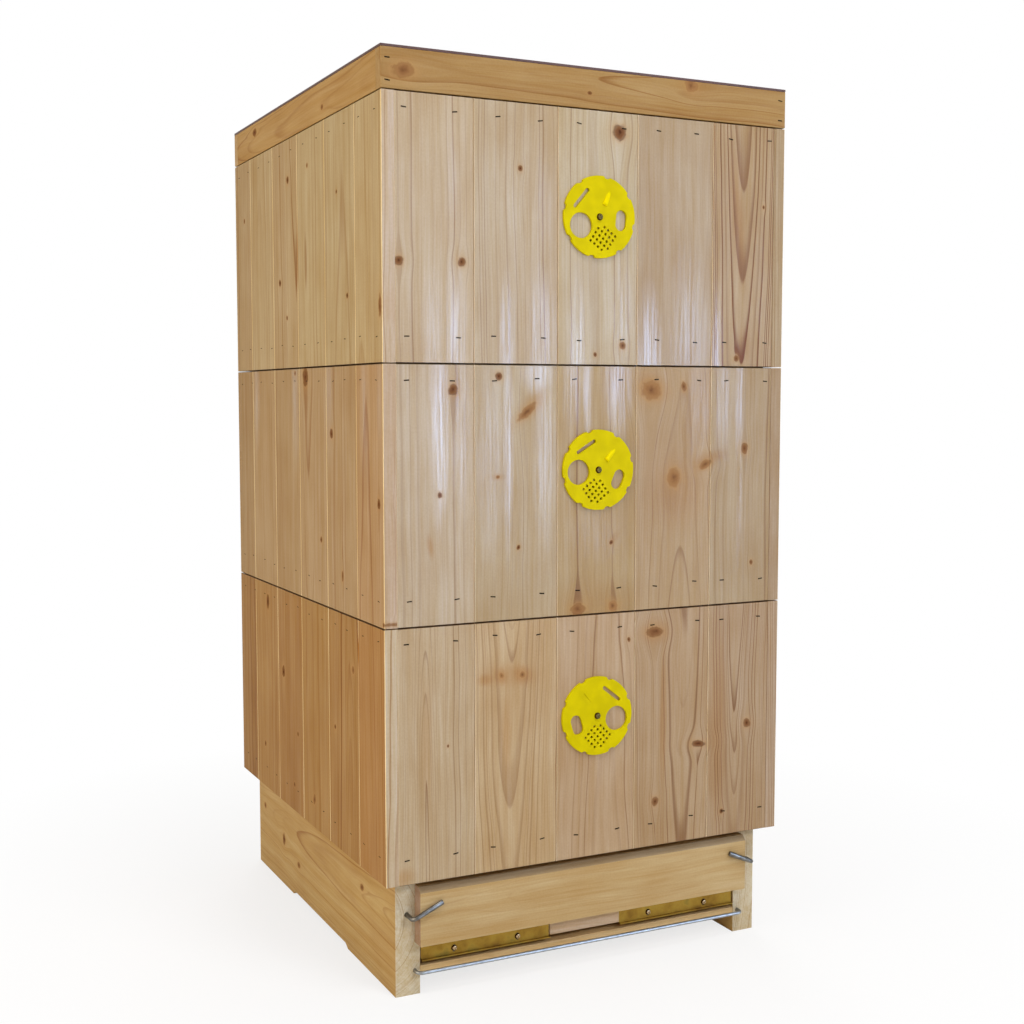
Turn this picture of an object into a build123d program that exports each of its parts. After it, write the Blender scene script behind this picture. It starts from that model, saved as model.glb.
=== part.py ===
from build123d import *
import os
from math import cos, radians, sin, sqrt

# An insulated beehive of three bodies on a raised floor stand, under a flat sheet-covered roof.
# Millimetres, +Z up, front towards -Y, origin on the ground under the middle of the hive.

# Comb frame that sets the size of the hive
frame_width = 360.0
frame_height = 260.0
frame_count = 12
frame_pitch = 36.5
stack_space = 10.0  # between the combs of two bodies in the stack
top_bar_drop = 4.0  # top bars below the rim of their body
side_bee_space = 8.0
end_bee_space = 2.0

# Pieces of a comb frame
top_bar_width = 25.0
top_bar_thick = 20.0
lug_length = 17.0
lug_thick = 10.0
side_bar_thick = 10.0
spacer_length = 95.0  # upper part of a side bar, as wide as the pitch
spacer_taper = 14.0
spacer_gap = 0.3
bottom_bar_width = 20.0
bottom_bar_thick = 10.0
foundation_thick = 1.2
foundation_gap = 0.3

# Wall layers from inside to outside
side_wall_thick = 23.0  # carries the frame lugs
end_wall_thick = 15.0
insulation_thick = 20.0
cladding_thick = 14.0
lug_end_gap = 2.5

# Stack of bodies
body_names = ("lower", "middle", "upper")
rim_step = 10.0  # the inner box stands this far above its cladding, into the piece above
rim_clearance = 1.0
joint_gap = 1.2
top_rail_height = 42.0
bottom_rail_height = 36.0

# Cladding of upright tongue-and-groove boards
board_cover = 97.5
front_first_board = 87.0
side_first_board = 72.0
narrowest_board = 25.0
board_gap = 0.3
board_bevel = 0.6
end_bevel = 0.4
tongue_length = 5.0
tongue_thick = 4.0
tongue_clearance = 0.3

# Flight hole and its turning disc
disc_height = 157.0  # screw above the lower edge of the cladding
disc_radius = 43.5
disc_thick = 3.0
disc_turns = {"lower": 1.5, "middle": -8.0, "upper": 10.6}  # degrees from hanging straight
flipped_discs = ("lower",)  # seen from its other face
notch_count = 8
notch_depth = 2.2
notch_mouth = 9.0
notch_floor = 5.0
round_hole_radius = 13.5
round_hole_reach = 24.5
round_hole_angle = -77.0  # angles on the disc, from its vent grid
oblong_width = 13.0
oblong_length = 22.0
oblong_reach = 26.5
oblong_angle = 74.0
queen_slot_width = 4.2
queen_slot_length = 27.0
queen_slot_reach = 29.3
queen_slot_angle = -141.0
tab_width = 5.5
tab_inner = 14.0
tab_outer = 31.0
tab_height = 3.0  # at its inner end, running out to nothing
tab_angle = 145.0
tab_hollow_depth = 1.2
vent_rows = 5
vent_pitch = 5.4
vent_radius = 1.5
vent_sides = 8
vent_reach = 22.9
flight_hole_radius = 12.5
sleeve_wall = 2.0
sleeve_clearance = 0.3
disc_screw_radius = 2.0
disc_screw_length = 12.0
disc_head_radius = 3.8
disc_head_height = 2.2
disc_screw_clearance = 0.4
head_clearance = 0.15

# Stand with the floor and the low entrance
base_height = 127.0  # ground to the lower edge of the lowest cladding
base_side_gap = 3.0
base_front_gap = 5.0
base_rear_gap = 2.0
runner_thick = 28.0
foot_length = 150.0
foot_relief = 4.5
foot_slope = 8.0
cross_rail_height = 28.0
cross_rail_depth = 28.0
rear_wall_thick = 28.0
floor_top = 30.0
floor_thick = 9.5
floor_groove = 6.0
floor_clearance = 0.4
sill_depth = 30.0

# Closing board in front of the low entrance, with its two gates
closer_lap = 6.0  # over the face of each runner
closer_thick = 16.0
closer_bottom = 56.5
closer_top_gap = 7.0
closer_bevel = 5.5
gate_board_thick = 22.0
gate_board_clearance = 0.5
gate_web = 88.0  # full wood left between the gates
gate_recess_depth = 3.0
gate_recess_top = 60.0
gate_thick = 1.2
gate_lip = 4.0
gate_height = 20.0
gate_end_gap = 1.0
gate_rest_gap = 5.0  # under the gate
gate_up = 2.5
gate_down = 2.0
gate_fold_radius = 1.6
gate_screw_spacing = 76.0
gate_screw_height = 12.3  # above the floor
gate_screw_radius = 1.5
gate_screw_length = 16.0
gate_head_radius = 3.3
gate_head_height = 2.0
slot_clearance = 0.3

# Sides given to small round sections (wire, screws, their holes) and to the flight bore
small_sides = 12
bore_sides = 20
head_taper = 24.0  # degrees
drill_clearance = 0.2

# Bent wire
latch_wire = 4.8
latch_inset = 15.0  # from the inner face of the runner
latch_height = 88.0
latch_arm = 37.0
latch_rise = 24.0  # degrees
latch_stub = 25.0  # inside the runner
latch_bend = 6.0
latch_gap = 0.5
rail_wire = 4.0
rail_inset = 6.0  # from the inner face of the runner
rail_height = 26.0
rail_stand_off = 10.0
rail_leg = 20.0  # inside the runner
rail_bend = 6.0

# Roof
roof_height = 43.0
roof_rail_thick = 14.0
ceiling_thick = 5.0
deck_thick = 7.0
sheet_thick = 0.7
hem_gap = 1.0
hem_width = 12.0

# Places worked out from the sizes above
inner_x = frame_width / 2 + side_bee_space
lining_x = inner_x + side_wall_thick
cladding_x = lining_x + insulation_thick
half_width = cladding_x + cladding_thick
inner_y = frame_count * frame_pitch / 2 + end_bee_space
lining_y = inner_y + end_wall_thick
cladding_y = lining_y + insulation_thick
half_depth = cladding_y + cladding_thick
body_pitch = frame_height + stack_space
stack_top = base_height + len(body_names) * body_pitch
runner_outer = cladding_x - base_side_gap
runner_inner = runner_outer - runner_thick
runner_front = base_front_gap - cladding_y
runner_rear = cladding_y - base_rear_gap
base_top = base_height + rim_step
closer_half_length = runner_inner + closer_lap
latch_x = runner_inner + latch_inset
rail_half_span = runner_inner + rail_inset
gate_bottom = floor_top + gate_rest_gap
gate_screw_z = floor_top + gate_screw_height

nodes = {}


def slab(x_from, x_to, y_from, y_to, z_from, z_to):
    size = Box(x_to - x_from, y_to - y_from, z_to - z_from)
    return Pos((x_from + x_to) / 2, (y_from + y_to) / 2, (z_from + z_to) / 2) * size


def mirrored(solid):
    return mirror(solid, about=Plane.YZ)


def polar(reach, angle):
    return reach * cos(radians(angle)), reach * sin(radians(angle))


def rod(start, end, section):
    axis = Vector(*end) - Vector(*start)
    return extrude(Plane(origin=start, z_dir=axis) * section, axis.length)


def small_round(radius):
    return RegularPolygon(radius, small_sides)


def drilled(start, end, radius):
    return rod(start, end, small_round(radius + drill_clearance))


def pan_screw(seat, radius, length, head_radius, head_height):
    head = extrude(Pos(0, 0, seat) * small_round(head_radius), head_height, taper=head_taper)
    return head + extrude(Pos(0, 0, seat) * small_round(radius), -seat - length)


def bent_wire(points, bend, diameter):
    path = FilletPolyline(*points, radius=bend)
    return sweep(Plane(origin=path @ 0, z_dir=path % 0) * small_round(diameter / 2), path=path)


# Tongue-and-groove boards
def board_spans(length, first):
    edges = [0.0]
    edge = first
    while edge < length - narrowest_board:
        edges.append(edge)
        edge += board_cover
    edges.append(length)
    return list(zip(edges, edges[1:]))


def board_profile(width, thick, tongue, has_groove, has_tongue):
    low = (thick - tongue) / 2
    high = (thick + tongue) / 2
    points = [(board_bevel, 0), (width - board_bevel, 0), (width, board_bevel)]
    if has_tongue:
        tip = width + tongue_length
        points += [(width, low), (tip, low), (tip, high), (width, high)]
    points += [(width, thick), (0, thick)]
    if has_groove:
        deep = tongue_length
        low -= tongue_clearance
        high += tongue_clearance
        points += [(0, high), (deep, high), (deep, low), (0, low)]
    points.append((0, board_bevel))
    return make_face(Polyline(*points, close=True))


def board_row(length, first, height, thick, tongue):
    spans = board_spans(length, first)
    boards = []
    for index, (start, end) in enumerate(spans):
        last = index == len(spans) - 1
        width = end - start - (0 if last else board_gap)
        profile = board_profile(width, thick, tongue, index > 0, not last)
        board = extrude(profile, height)
        face_edges = board.edges().filter_by(Axis.X).group_by(Axis.Y)[0]
        boards.append(Pos(start, 0, 0) * chamfer(face_edges, end_bevel))
    return boards


# The disc turns on the middle of the front board that spans the centre line
disc_board = next(
    index
    for index, (start, end) in enumerate(board_spans(2 * cladding_x, front_first_board))
    if end > cladding_x
)
disc_board_span = board_spans(2 * cladding_x, front_first_board)[disc_board]
disc_x = sum(disc_board_span) / 2 - cladding_x


def front_plane(x, z):
    return Plane(origin=(x, -half_depth, z), x_dir=(1, 0, 0), z_dir=(0, -1, 0))


def flight_bore(z, radius, y_to):
    ends = ((disc_x, -half_depth - disc_thick, z), (disc_x, y_to, z))
    return rod(*ends, RegularPolygon(radius, bore_sides))


def cladding(name, z):
    height = body_pitch - joint_gap
    front = board_row(2 * cladding_x, front_first_board, height, cladding_thick, tongue_thick)
    side = board_row(2 * half_depth, side_first_board, height, cladding_thick, tongue_thick)
    screw_z = z + disc_height
    screw_end = disc_screw_length - half_depth
    shown = [Pos(-cladding_x, -half_depth, z) * board for board in front]
    shown[disc_board] -= flight_bore(screw_z - round_hole_reach, flight_hole_radius, -cladding_y)
    shown[disc_board] -= drilled(
        (disc_x, -half_depth, screw_z), (disc_x, screw_end, screw_z), disc_screw_radius
    )
    nodes[name + "_front_cladding"] = shown
    turned = {
        "rear": Pos(cladding_x, half_depth, z) * Rot(0, 0, 180),
        "left": Pos(-half_width, half_depth, z) * Rot(0, 0, -90),
        "right": Pos(half_width, -half_depth, z) * Rot(0, 0, 90),
    }
    nodes[name + "_rear_cladding"] = [turned["rear"] * board for board in front]
    nodes[name + "_left_cladding"] = [turned["left"] * board for board in side]
    nodes[name + "_right_cladding"] = [turned["right"] * board for board in side]


# Inner box, rails and insulation of one body
def rail_ring(z_from, z_to):
    side = slab(lining_x, cladding_x, -cladding_y, cladding_y, z_from, z_to)
    end = slab(-lining_x, lining_x, lining_y, cladding_y, z_from, z_to)
    return [side, mirrored(side), end, mirror(end, about=Plane.XZ)]


def inner_box(name, z):
    low = z + rim_step
    high = low + body_pitch
    flight_z = z + disc_height - round_hole_reach
    sleeve_radius = flight_hole_radius + sleeve_wall
    sleeve_bore = flight_bore(flight_z, sleeve_radius + sleeve_clearance, -inner_y)

    side = slab(inner_x, lining_x, -lining_y, lining_y, low, high)
    lug_floor = high - top_bar_drop - lug_thick
    lug_edge = frame_width / 2 + lug_length + lug_end_gap
    side -= slab(inner_x, lug_edge, -inner_y, inner_y, lug_floor, high)
    end = slab(-inner_x, inner_x, inner_y, lining_y, low, high)
    front = mirror(end, about=Plane.XZ) - sleeve_bore
    nodes[name + "_inner_walls"] = [front, end, side, mirrored(side)]

    rim = slab(-half_width, half_width, -half_depth, half_depth, z + body_pitch - joint_gap, high)
    rim_x = cladding_x - rim_clearance
    rim_y = cladding_y - rim_clearance
    rim -= slab(-rim_x, rim_x, -rim_y, rim_y, low, high)
    top = [rail - rim for rail in rail_ring(high - top_rail_height, high)]
    nodes[name + "_rails"] = top + rail_ring(low, low + bottom_rail_height)

    panels = rail_ring(low + bottom_rail_height, high - top_rail_height)
    nodes[name + "_insulation"] = panels[:3] + [panels[3] - sleeve_bore]

    sleeve_ends = ((disc_x, -cladding_y, flight_z), (disc_x, -inner_y, flight_z))
    sleeve = rod(*sleeve_ends, RegularPolygon(sleeve_radius, bore_sides))
    sleeve -= flight_bore(flight_z, flight_hole_radius, 0)
    nodes[name + "_flight_sleeve"] = [sleeve]


# Entrance disc, drawn as seen from the front with its vent grid hanging straight down
def disc_outline():
    blank = Circle(disc_radius)
    half_mouth = notch_mouth / 2
    half_floor = notch_floor / 2
    bite = make_face(
        Polyline(
            (-half_mouth, notch_depth),
            (-half_floor, -notch_depth),
            (half_floor, -notch_depth),
            (half_mouth, notch_depth),
            close=True,
        )
    )
    for index in range(notch_count):
        angle = (index + 0.5) * 360 / notch_count - 90
        blank -= Pos(*polar(disc_radius, angle)) * Rot(0, 0, angle - 90) * bite
    return blank


def vent_grid():
    half = (vent_rows - 1) / 2
    holes = []
    for row in range(vent_rows):
        for column in range(vent_rows):
            if row == column and row in (0, vent_rows - 1):
                continue
            along = (column - half) * vent_pitch
            across = (row - half) * vent_pitch
            down = -vent_reach - (along + across) / sqrt(2)
            holes.append(Pos((along - across) / sqrt(2), down) * RegularPolygon(vent_radius, vent_sides))
    return holes


def tab_wedge(outline):
    along = Plane(origin=(0, tab_width / 2, 0), x_dir=(1, 0, 0), z_dir=(0, -1, 0))
    return extrude(along * make_face(outline), tab_width)


def entrance_disc(flipped):
    side = -1 if flipped else 1

    def place(reach, angle):
        turn = side * angle - 90
        return Pos(*polar(reach, turn)) * Rot(0, 0, turn)

    openings = [
        small_round(disc_screw_radius + disc_screw_clearance),
        place(round_hole_reach, round_hole_angle) * Circle(round_hole_radius),
        place(oblong_reach, oblong_angle) * Rot(0, 0, 90) * SlotOverall(oblong_length, oblong_width),
        place(queen_slot_reach, queen_slot_angle)
        * Rot(0, 0, 90)
        * SlotOverall(queen_slot_length, queen_slot_width),
    ]
    face = disc_outline() - openings - vent_grid()
    disc = extrude(face, disc_thick)
    tab_turn = Pos(0, 0, disc_thick) * Rot(0, 0, side * tab_angle - 90)
    if flipped:
        hollow = Polyline((tab_inner, 0), (tab_outer, 0), (tab_outer, -tab_hollow_depth), close=True)
        return disc - tab_turn * tab_wedge(hollow)
    ramp = Polyline((tab_inner, 0), (tab_outer, 0), (tab_inner, tab_height), close=True)
    return disc + tab_turn * tab_wedge(ramp)


def disc_and_screw(name, z):
    where = front_plane(disc_x, z + disc_height)
    disc = entrance_disc(name in flipped_discs)
    nodes[name + "_entrance_disc"] = [where * Rot(0, 0, disc_turns[name]) * disc]
    screw = pan_screw(
        disc_thick + head_clearance,
        disc_screw_radius,
        disc_screw_length,
        disc_head_radius,
        disc_head_height,
    )
    nodes[name + "_disc_screw"] = [where * screw]


# Comb frames hanging by their lugs across the hive
def comb_frame():
    half = frame_width / 2
    underside = -top_bar_thick
    lug_x = half + lug_length
    top_bar = slab(-lug_x, lug_x, -top_bar_width / 2, top_bar_width / 2, underside, 0)
    rebate = slab(half, lug_x, -top_bar_width / 2, top_bar_width / 2, underside, -lug_thick)
    top_bar -= [rebate, mirrored(rebate)]

    wide = (frame_pitch - spacer_gap) / 2
    slim = top_bar_width / 2
    shoulder = underside - spacer_length
    outline = Polyline(
        (-wide, underside),
        (wide, underside),
        (wide, shoulder),
        (slim, shoulder - spacer_taper),
        (slim, -frame_height),
        (-slim, -frame_height),
        (-slim, shoulder - spacer_taper),
        (-wide, shoulder),
        close=True,
    )
    side_plane = Plane(origin=(half - side_bar_thick, 0, 0), x_dir=(0, 1, 0), z_dir=(1, 0, 0))
    side_bar = extrude(side_plane * make_face(outline), side_bar_thick)

    inside = half - side_bar_thick
    bottom_top = bottom_bar_thick - frame_height
    bottom_bar = slab(
        -inside, inside, -bottom_bar_width / 2, bottom_bar_width / 2, -frame_height, bottom_top
    )
    wood = [top_bar, side_bar, mirrored(side_bar), bottom_bar]
    sheet = slab(
        foundation_gap - inside,
        inside - foundation_gap,
        -foundation_thick / 2,
        foundation_thick / 2,
        bottom_top + foundation_gap,
        underside - foundation_gap,
    )
    return wood, sheet


def comb_frames(name, z):
    wood, sheet = comb_frame()
    top = z + rim_step + body_pitch - top_bar_drop
    places = [
        Pos(0, (index - (frame_count - 1) / 2) * frame_pitch, top) for index in range(frame_count)
    ]
    nodes[name + "_comb_frames"] = [place * bar for place in places for bar in wood]
    nodes[name + "_foundation"] = [place * sheet for place in places]


# Stand
def runner():
    front_foot = runner_front + foot_length
    rear_foot = runner_rear - foot_length
    outline = Polyline(
        (runner_front, 0),
        (front_foot, 0),
        (front_foot + foot_slope, foot_relief),
        (rear_foot - foot_slope, foot_relief),
        (rear_foot, 0),
        (runner_rear, 0),
        (runner_rear, base_top),
        (runner_front, base_top),
        close=True,
    )
    side_plane = Plane(origin=(runner_inner, 0, 0), x_dir=(0, 1, 0), z_dir=(1, 0, 0))
    board = extrude(side_plane * make_face(outline), runner_thick)
    groove_low = floor_top - floor_thick
    board -= slab(
        runner_inner,
        runner_inner + floor_groove,
        runner_front + sill_depth,
        runner_rear - rear_wall_thick,
        groove_low,
        floor_top + floor_clearance,
    )
    for x, z, deep, diameter in (
        (latch_x, latch_height, latch_stub, latch_wire),
        (rail_half_span, rail_height, rail_leg, rail_wire),
    ):
        end = runner_front + deep + drill_clearance
        board -= drilled((x, runner_front, z), (x, end, z), diameter / 2)
    return board


def floor_boards():
    start = runner_front + sill_depth
    length = runner_rear - rear_wall_thick - start
    reach = runner_inner + floor_groove - floor_clearance
    row = board_row(length, board_cover, 2 * reach, floor_thick, floor_thick / 3)
    laid = Plane(origin=(reach, start, floor_top), x_dir=(0, 1, 0), z_dir=(-1, 0, 0))
    return [laid * board for board in row]


def closing_board():
    front = runner_front - closer_thick
    top = base_height - closer_top_gap
    outline = Polyline(
        (runner_front, closer_bottom),
        (front, closer_bottom),
        (front, top - closer_bevel),
        (front + closer_bevel, top),
        (runner_front, top),
        close=True,
    )
    side_plane = Plane(origin=(-closer_half_length, 0, 0), x_dir=(0, 1, 0), z_dir=(1, 0, 0))
    return extrude(side_plane * make_face(outline), 2 * closer_half_length)


gate_far = runner_inner - gate_board_clearance
gate_near = gate_web / 2
gate_face = runner_front + gate_recess_depth - gate_thick
gate_screw_x = (gate_far + gate_near) / 2


def gate_screw_places():
    spread = gate_screw_spacing / 2
    return [side * gate_screw_x + offset for side in (-1, 1) for offset in (-spread, spread)]


def gate_board():
    back = runner_front + gate_board_thick
    low = gate_bottom + gate_up
    high = base_top - cross_rail_height - gate_board_clearance
    recess_back = runner_front + gate_recess_depth
    board = slab(-gate_far, gate_far, runner_front, back, low, high)
    recess = slab(gate_near, gate_far, runner_front, recess_back, low, gate_recess_top)
    board -= [recess, mirrored(recess)]
    for x in gate_screw_places():
        tip = (x, recess_back + gate_screw_length, gate_screw_z)
        board -= drilled((x, recess_back, gate_screw_z), tip, gate_screw_radius)
    return board


def gate():
    back = gate_face + gate_thick
    lip_front = gate_face - gate_lip
    lip_top = gate_bottom + gate_thick
    top = gate_bottom + gate_height
    profile = make_face(
        Polyline(
            (back, gate_bottom),
            (back, top),
            (gate_face, top),
            (gate_face, lip_top),
            (lip_front, lip_top),
            (lip_front, gate_bottom),
            close=True,
        )
    )
    fold = profile.vertices().sort_by_distance((back, gate_bottom))[0]
    profile = fillet(fold, gate_fold_radius)
    start = gate_near + gate_end_gap
    side_plane = Plane(origin=(start, 0, 0), x_dir=(0, 1, 0), z_dir=(1, 0, 0))
    plate = extrude(side_plane * profile, gate_far - gate_end_gap - start)
    slot_radius = gate_screw_radius + slot_clearance
    slot_middle = gate_screw_z + (gate_down - gate_up) / 2
    for offset in (-gate_screw_spacing / 2, gate_screw_spacing / 2):
        where = Plane(
            origin=(gate_screw_x + offset, back, slot_middle), x_dir=(0, 0, 1), z_dir=(0, -1, 0)
        )
        plate -= extrude(where * SlotCenterToCenter(gate_up + gate_down, 2 * slot_radius), gate_thick)
    return plate


def gate_screw(x):
    recess_back = runner_front + gate_recess_depth
    where = Plane(origin=(x, recess_back, gate_screw_z), x_dir=(1, 0, 0), z_dir=(0, -1, 0))
    return where * pan_screw(
        gate_thick + head_clearance,
        gate_screw_radius,
        gate_screw_length,
        gate_head_radius,
        gate_head_height,
    )


def turn_latch():
    arm_y = runner_front - closer_thick - latch_gap - latch_wire / 2
    inward, rise = polar(latch_arm, latch_rise)
    points = [
        (latch_x, runner_front + latch_stub, latch_height),
        (latch_x, arm_y, latch_height),
        (latch_x - inward, arm_y, latch_height + rise),
    ]
    return bent_wire(points, latch_bend, latch_wire)


def hanging_rail():
    leg_end = runner_front + rail_leg
    rail_y = runner_front - rail_stand_off
    points = [
        (-rail_half_span, leg_end, rail_height),
        (-rail_half_span, rail_y, rail_height),
        (rail_half_span, rail_y, rail_height),
        (rail_half_span, leg_end, rail_height),
    ]
    return bent_wire(points, rail_bend, rail_wire)


def stand():
    right = runner()
    nodes["right_runner"] = [right]
    nodes["left_runner"] = [mirrored(right)]
    rear = runner_rear - rear_wall_thick
    cross_low = base_top - cross_rail_height
    cross_back = runner_front + cross_rail_depth
    floor_low = floor_top - floor_thick
    nodes["stand_rear_wall"] = [
        slab(-runner_inner, runner_inner, rear, runner_rear, floor_low, base_top)
    ]
    nodes["stand_front_rail"] = [
        slab(-runner_inner, runner_inner, runner_front, cross_back, cross_low, base_top)
    ]
    nodes["floor_boards"] = floor_boards()
    nodes["entrance_sill"] = [
        slab(-runner_inner, runner_inner, runner_front, runner_front + sill_depth, floor_low, floor_top)
    ]
    nodes["closing_board"] = [closing_board()]
    nodes["gate_board"] = [gate_board()]
    nodes["right_gate"] = [gate()]
    nodes["left_gate"] = [mirrored(nodes["right_gate"][0])]
    nodes["gate_screws"] = [gate_screw(x) for x in gate_screw_places()]
    nodes["right_latch"] = [turn_latch()]
    nodes["left_latch"] = [mirrored(nodes["right_latch"][0])]
    nodes["hanging_rail"] = [hanging_rail()]


# Roof
def roof():
    hem_height = 2 * sheet_thick + hem_gap
    rail_top = stack_top + roof_height - hem_height
    inside_x = half_width - roof_rail_thick
    inside_y = half_depth - roof_rail_thick
    front = slab(-half_width, half_width, -half_depth, -inside_y, stack_top, rail_top)
    side = slab(inside_x, half_width, -inside_y, inside_y, stack_top, rail_top)
    nodes["roof_front_rail"] = [front]
    nodes["roof_rear_rail"] = [mirror(front, about=Plane.XZ)]
    nodes["roof_right_rail"] = [side]
    nodes["roof_left_rail"] = [mirrored(side)]

    ceiling_low = stack_top + rim_step
    ceiling_high = ceiling_low + ceiling_thick
    deck_low = rail_top - deck_thick
    for name, low, high in (
        ("roof_ceiling", ceiling_low, ceiling_high),
        ("roof_insulation", ceiling_high, deck_low),
        ("roof_deck", deck_low, rail_top),
    ):
        nodes[name] = [slab(-inside_x, inside_x, -inside_y, inside_y, low, high)]

    sheet = slab(-half_width, half_width, -half_depth, half_depth, rail_top, rail_top + hem_height)
    fold_x = half_width - sheet_thick
    fold_y = half_depth - sheet_thick
    open_x = half_width - hem_width
    open_y = half_depth - hem_width
    fold_low = rail_top + sheet_thick
    sheet -= slab(-fold_x, fold_x, -fold_y, fold_y, fold_low, fold_low + hem_gap)
    sheet -= slab(-open_x, open_x, -open_y, open_y, rail_top, fold_low)
    nodes["roof_sheet"] = [sheet]


stand()
for level, body_name in enumerate(body_names):
    body_z = base_height + level * body_pitch
    cladding(body_name, body_z)
    inner_box(body_name, body_z)
    disc_and_screw(body_name, body_z)
    comb_frames(body_name, body_z)
roof()

os.makedirs("parts", exist_ok=True)
for node_name, solids in nodes.items():
    shape = solids[0] if len(solids) == 1 else Compound(solids)
    export_step(shape, "parts/" + node_name + ".step")
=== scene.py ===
import random
from functools import partial
from math import cos, pi, radians, sin, sqrt

import bmesh
import bpy
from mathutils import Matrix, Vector


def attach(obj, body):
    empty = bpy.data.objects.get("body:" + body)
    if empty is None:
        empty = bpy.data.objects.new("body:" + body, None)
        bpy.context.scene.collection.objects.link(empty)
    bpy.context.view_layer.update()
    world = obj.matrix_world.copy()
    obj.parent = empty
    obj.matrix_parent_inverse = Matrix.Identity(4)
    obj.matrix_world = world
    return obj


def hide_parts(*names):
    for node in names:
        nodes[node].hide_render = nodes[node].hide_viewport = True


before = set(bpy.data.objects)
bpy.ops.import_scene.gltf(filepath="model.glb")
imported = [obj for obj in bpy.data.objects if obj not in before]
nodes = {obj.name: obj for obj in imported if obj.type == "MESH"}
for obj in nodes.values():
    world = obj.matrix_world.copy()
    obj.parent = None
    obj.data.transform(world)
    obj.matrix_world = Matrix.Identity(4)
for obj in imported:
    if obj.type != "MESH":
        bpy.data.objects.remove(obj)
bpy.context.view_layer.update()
mm = 0.001
bodyBase = {"lower": 127, "middle": 397, "upper": 667}  # lower edge of each cladding, mm
print("frame loaded,", len(nodes), "nodes")


def linearColour(code):  # sRGB hex to the linear values that Blender mixes
    parts = [int(code[i:i + 2], 16) / 255 for i in (0, 2, 4)]
    return [c / 12.92 if c <= 0.04045 else ((c + 0.055) / 1.055) ** 2.4 for c in parts] + [1.0]


def asColour(value):
    return linearColour(value) if isinstance(value, str) else value


# The kind may name an operation after a dot, links feed the sockets by name or in order,
# stops are a colour ramp's (position, colour), and a hex code stands for its colour.
def addNode(tree, kind, links=(), stops=(), ease="LINEAR", **settings):
    kind, _, operation = kind.partition(".")
    node = tree.nodes.new(kind if kind.startswith("NodeGroup") else "ShaderNode" + kind)
    if operation:
        node.operation = operation
    for name, value in settings.items():
        setattr(node, name, value)
    if stops:
        node.color_ramp.interpolation = ease
        while len(node.color_ramp.elements) < len(stops):
            node.color_ramp.elements.new(1.0)
        for element, (position, colour) in zip(node.color_ramp.elements, stops):
            element.position, element.color = position, asColour(colour)
    for socket, value in links.items() if isinstance(links, dict) else enumerate(links):
        if isinstance(value, bpy.types.Node):
            value = value.outputs[0]
        if isinstance(value, bpy.types.NodeSocket):
            tree.links.new(value, node.inputs[socket])
        else:
            node.inputs[socket].default_value = asColour(value)
    return node


blended = {"data_type": "RGBA"}  # settings of a Mix node that mixes or multiplies colours
tinted = {"data_type": "RGBA", "blend_type": "MULTIPLY"}


def newMaterial(name):
    material = bpy.data.materials.new(name)
    material.use_nodes = True
    material.node_tree.nodes.clear()
    add = partial(addNode, material.node_tree)
    return material, add, add("TexCoord").outputs


def newGroup(name, given, taken):
    tree = bpy.data.node_groups.new(name, "ShaderNodeTree")
    for way, labels in (("INPUT", given), ("OUTPUT", taken)):
        for label in labels:
            kind = "NodeSocketVector" if label == "Place" else "NodeSocketFloat"
            tree.interface.new_socket(label, in_out=way, socket_type=kind)
    add = partial(addNode, tree)
    return tree, add, add("NodeGroupInput").outputs


# Pine: growth rings cut by the board's face, all lengths in mm.
# Pale early wood runs into a thin darker line of late wood, ring after ring, bolder in some years.
pineRings = {"wander": 13, "wanderDepth": 0.4, "wanderLength": 230, "wanderWidth": 85, "decade": 0.33, "growth": 3.2,
             "rareBold": 1.6, "faint": 0.15, "bold": 1.5, "lateFrom": 0.9, "lateBroad": -0.45, "lateTo": 0.95}
# waves per mm across, into and along the board, detail, roughness
pineGrain = {"Fibre": ((0.48, 0.48, 0.014), 3.0, 0.6), "Streak": ((0.11, 0.11, 0.0028), 2.0, 0.5),
             "Cloud": ((0.016, 0.016, 0.009), 3.0, 0.55)}


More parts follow.
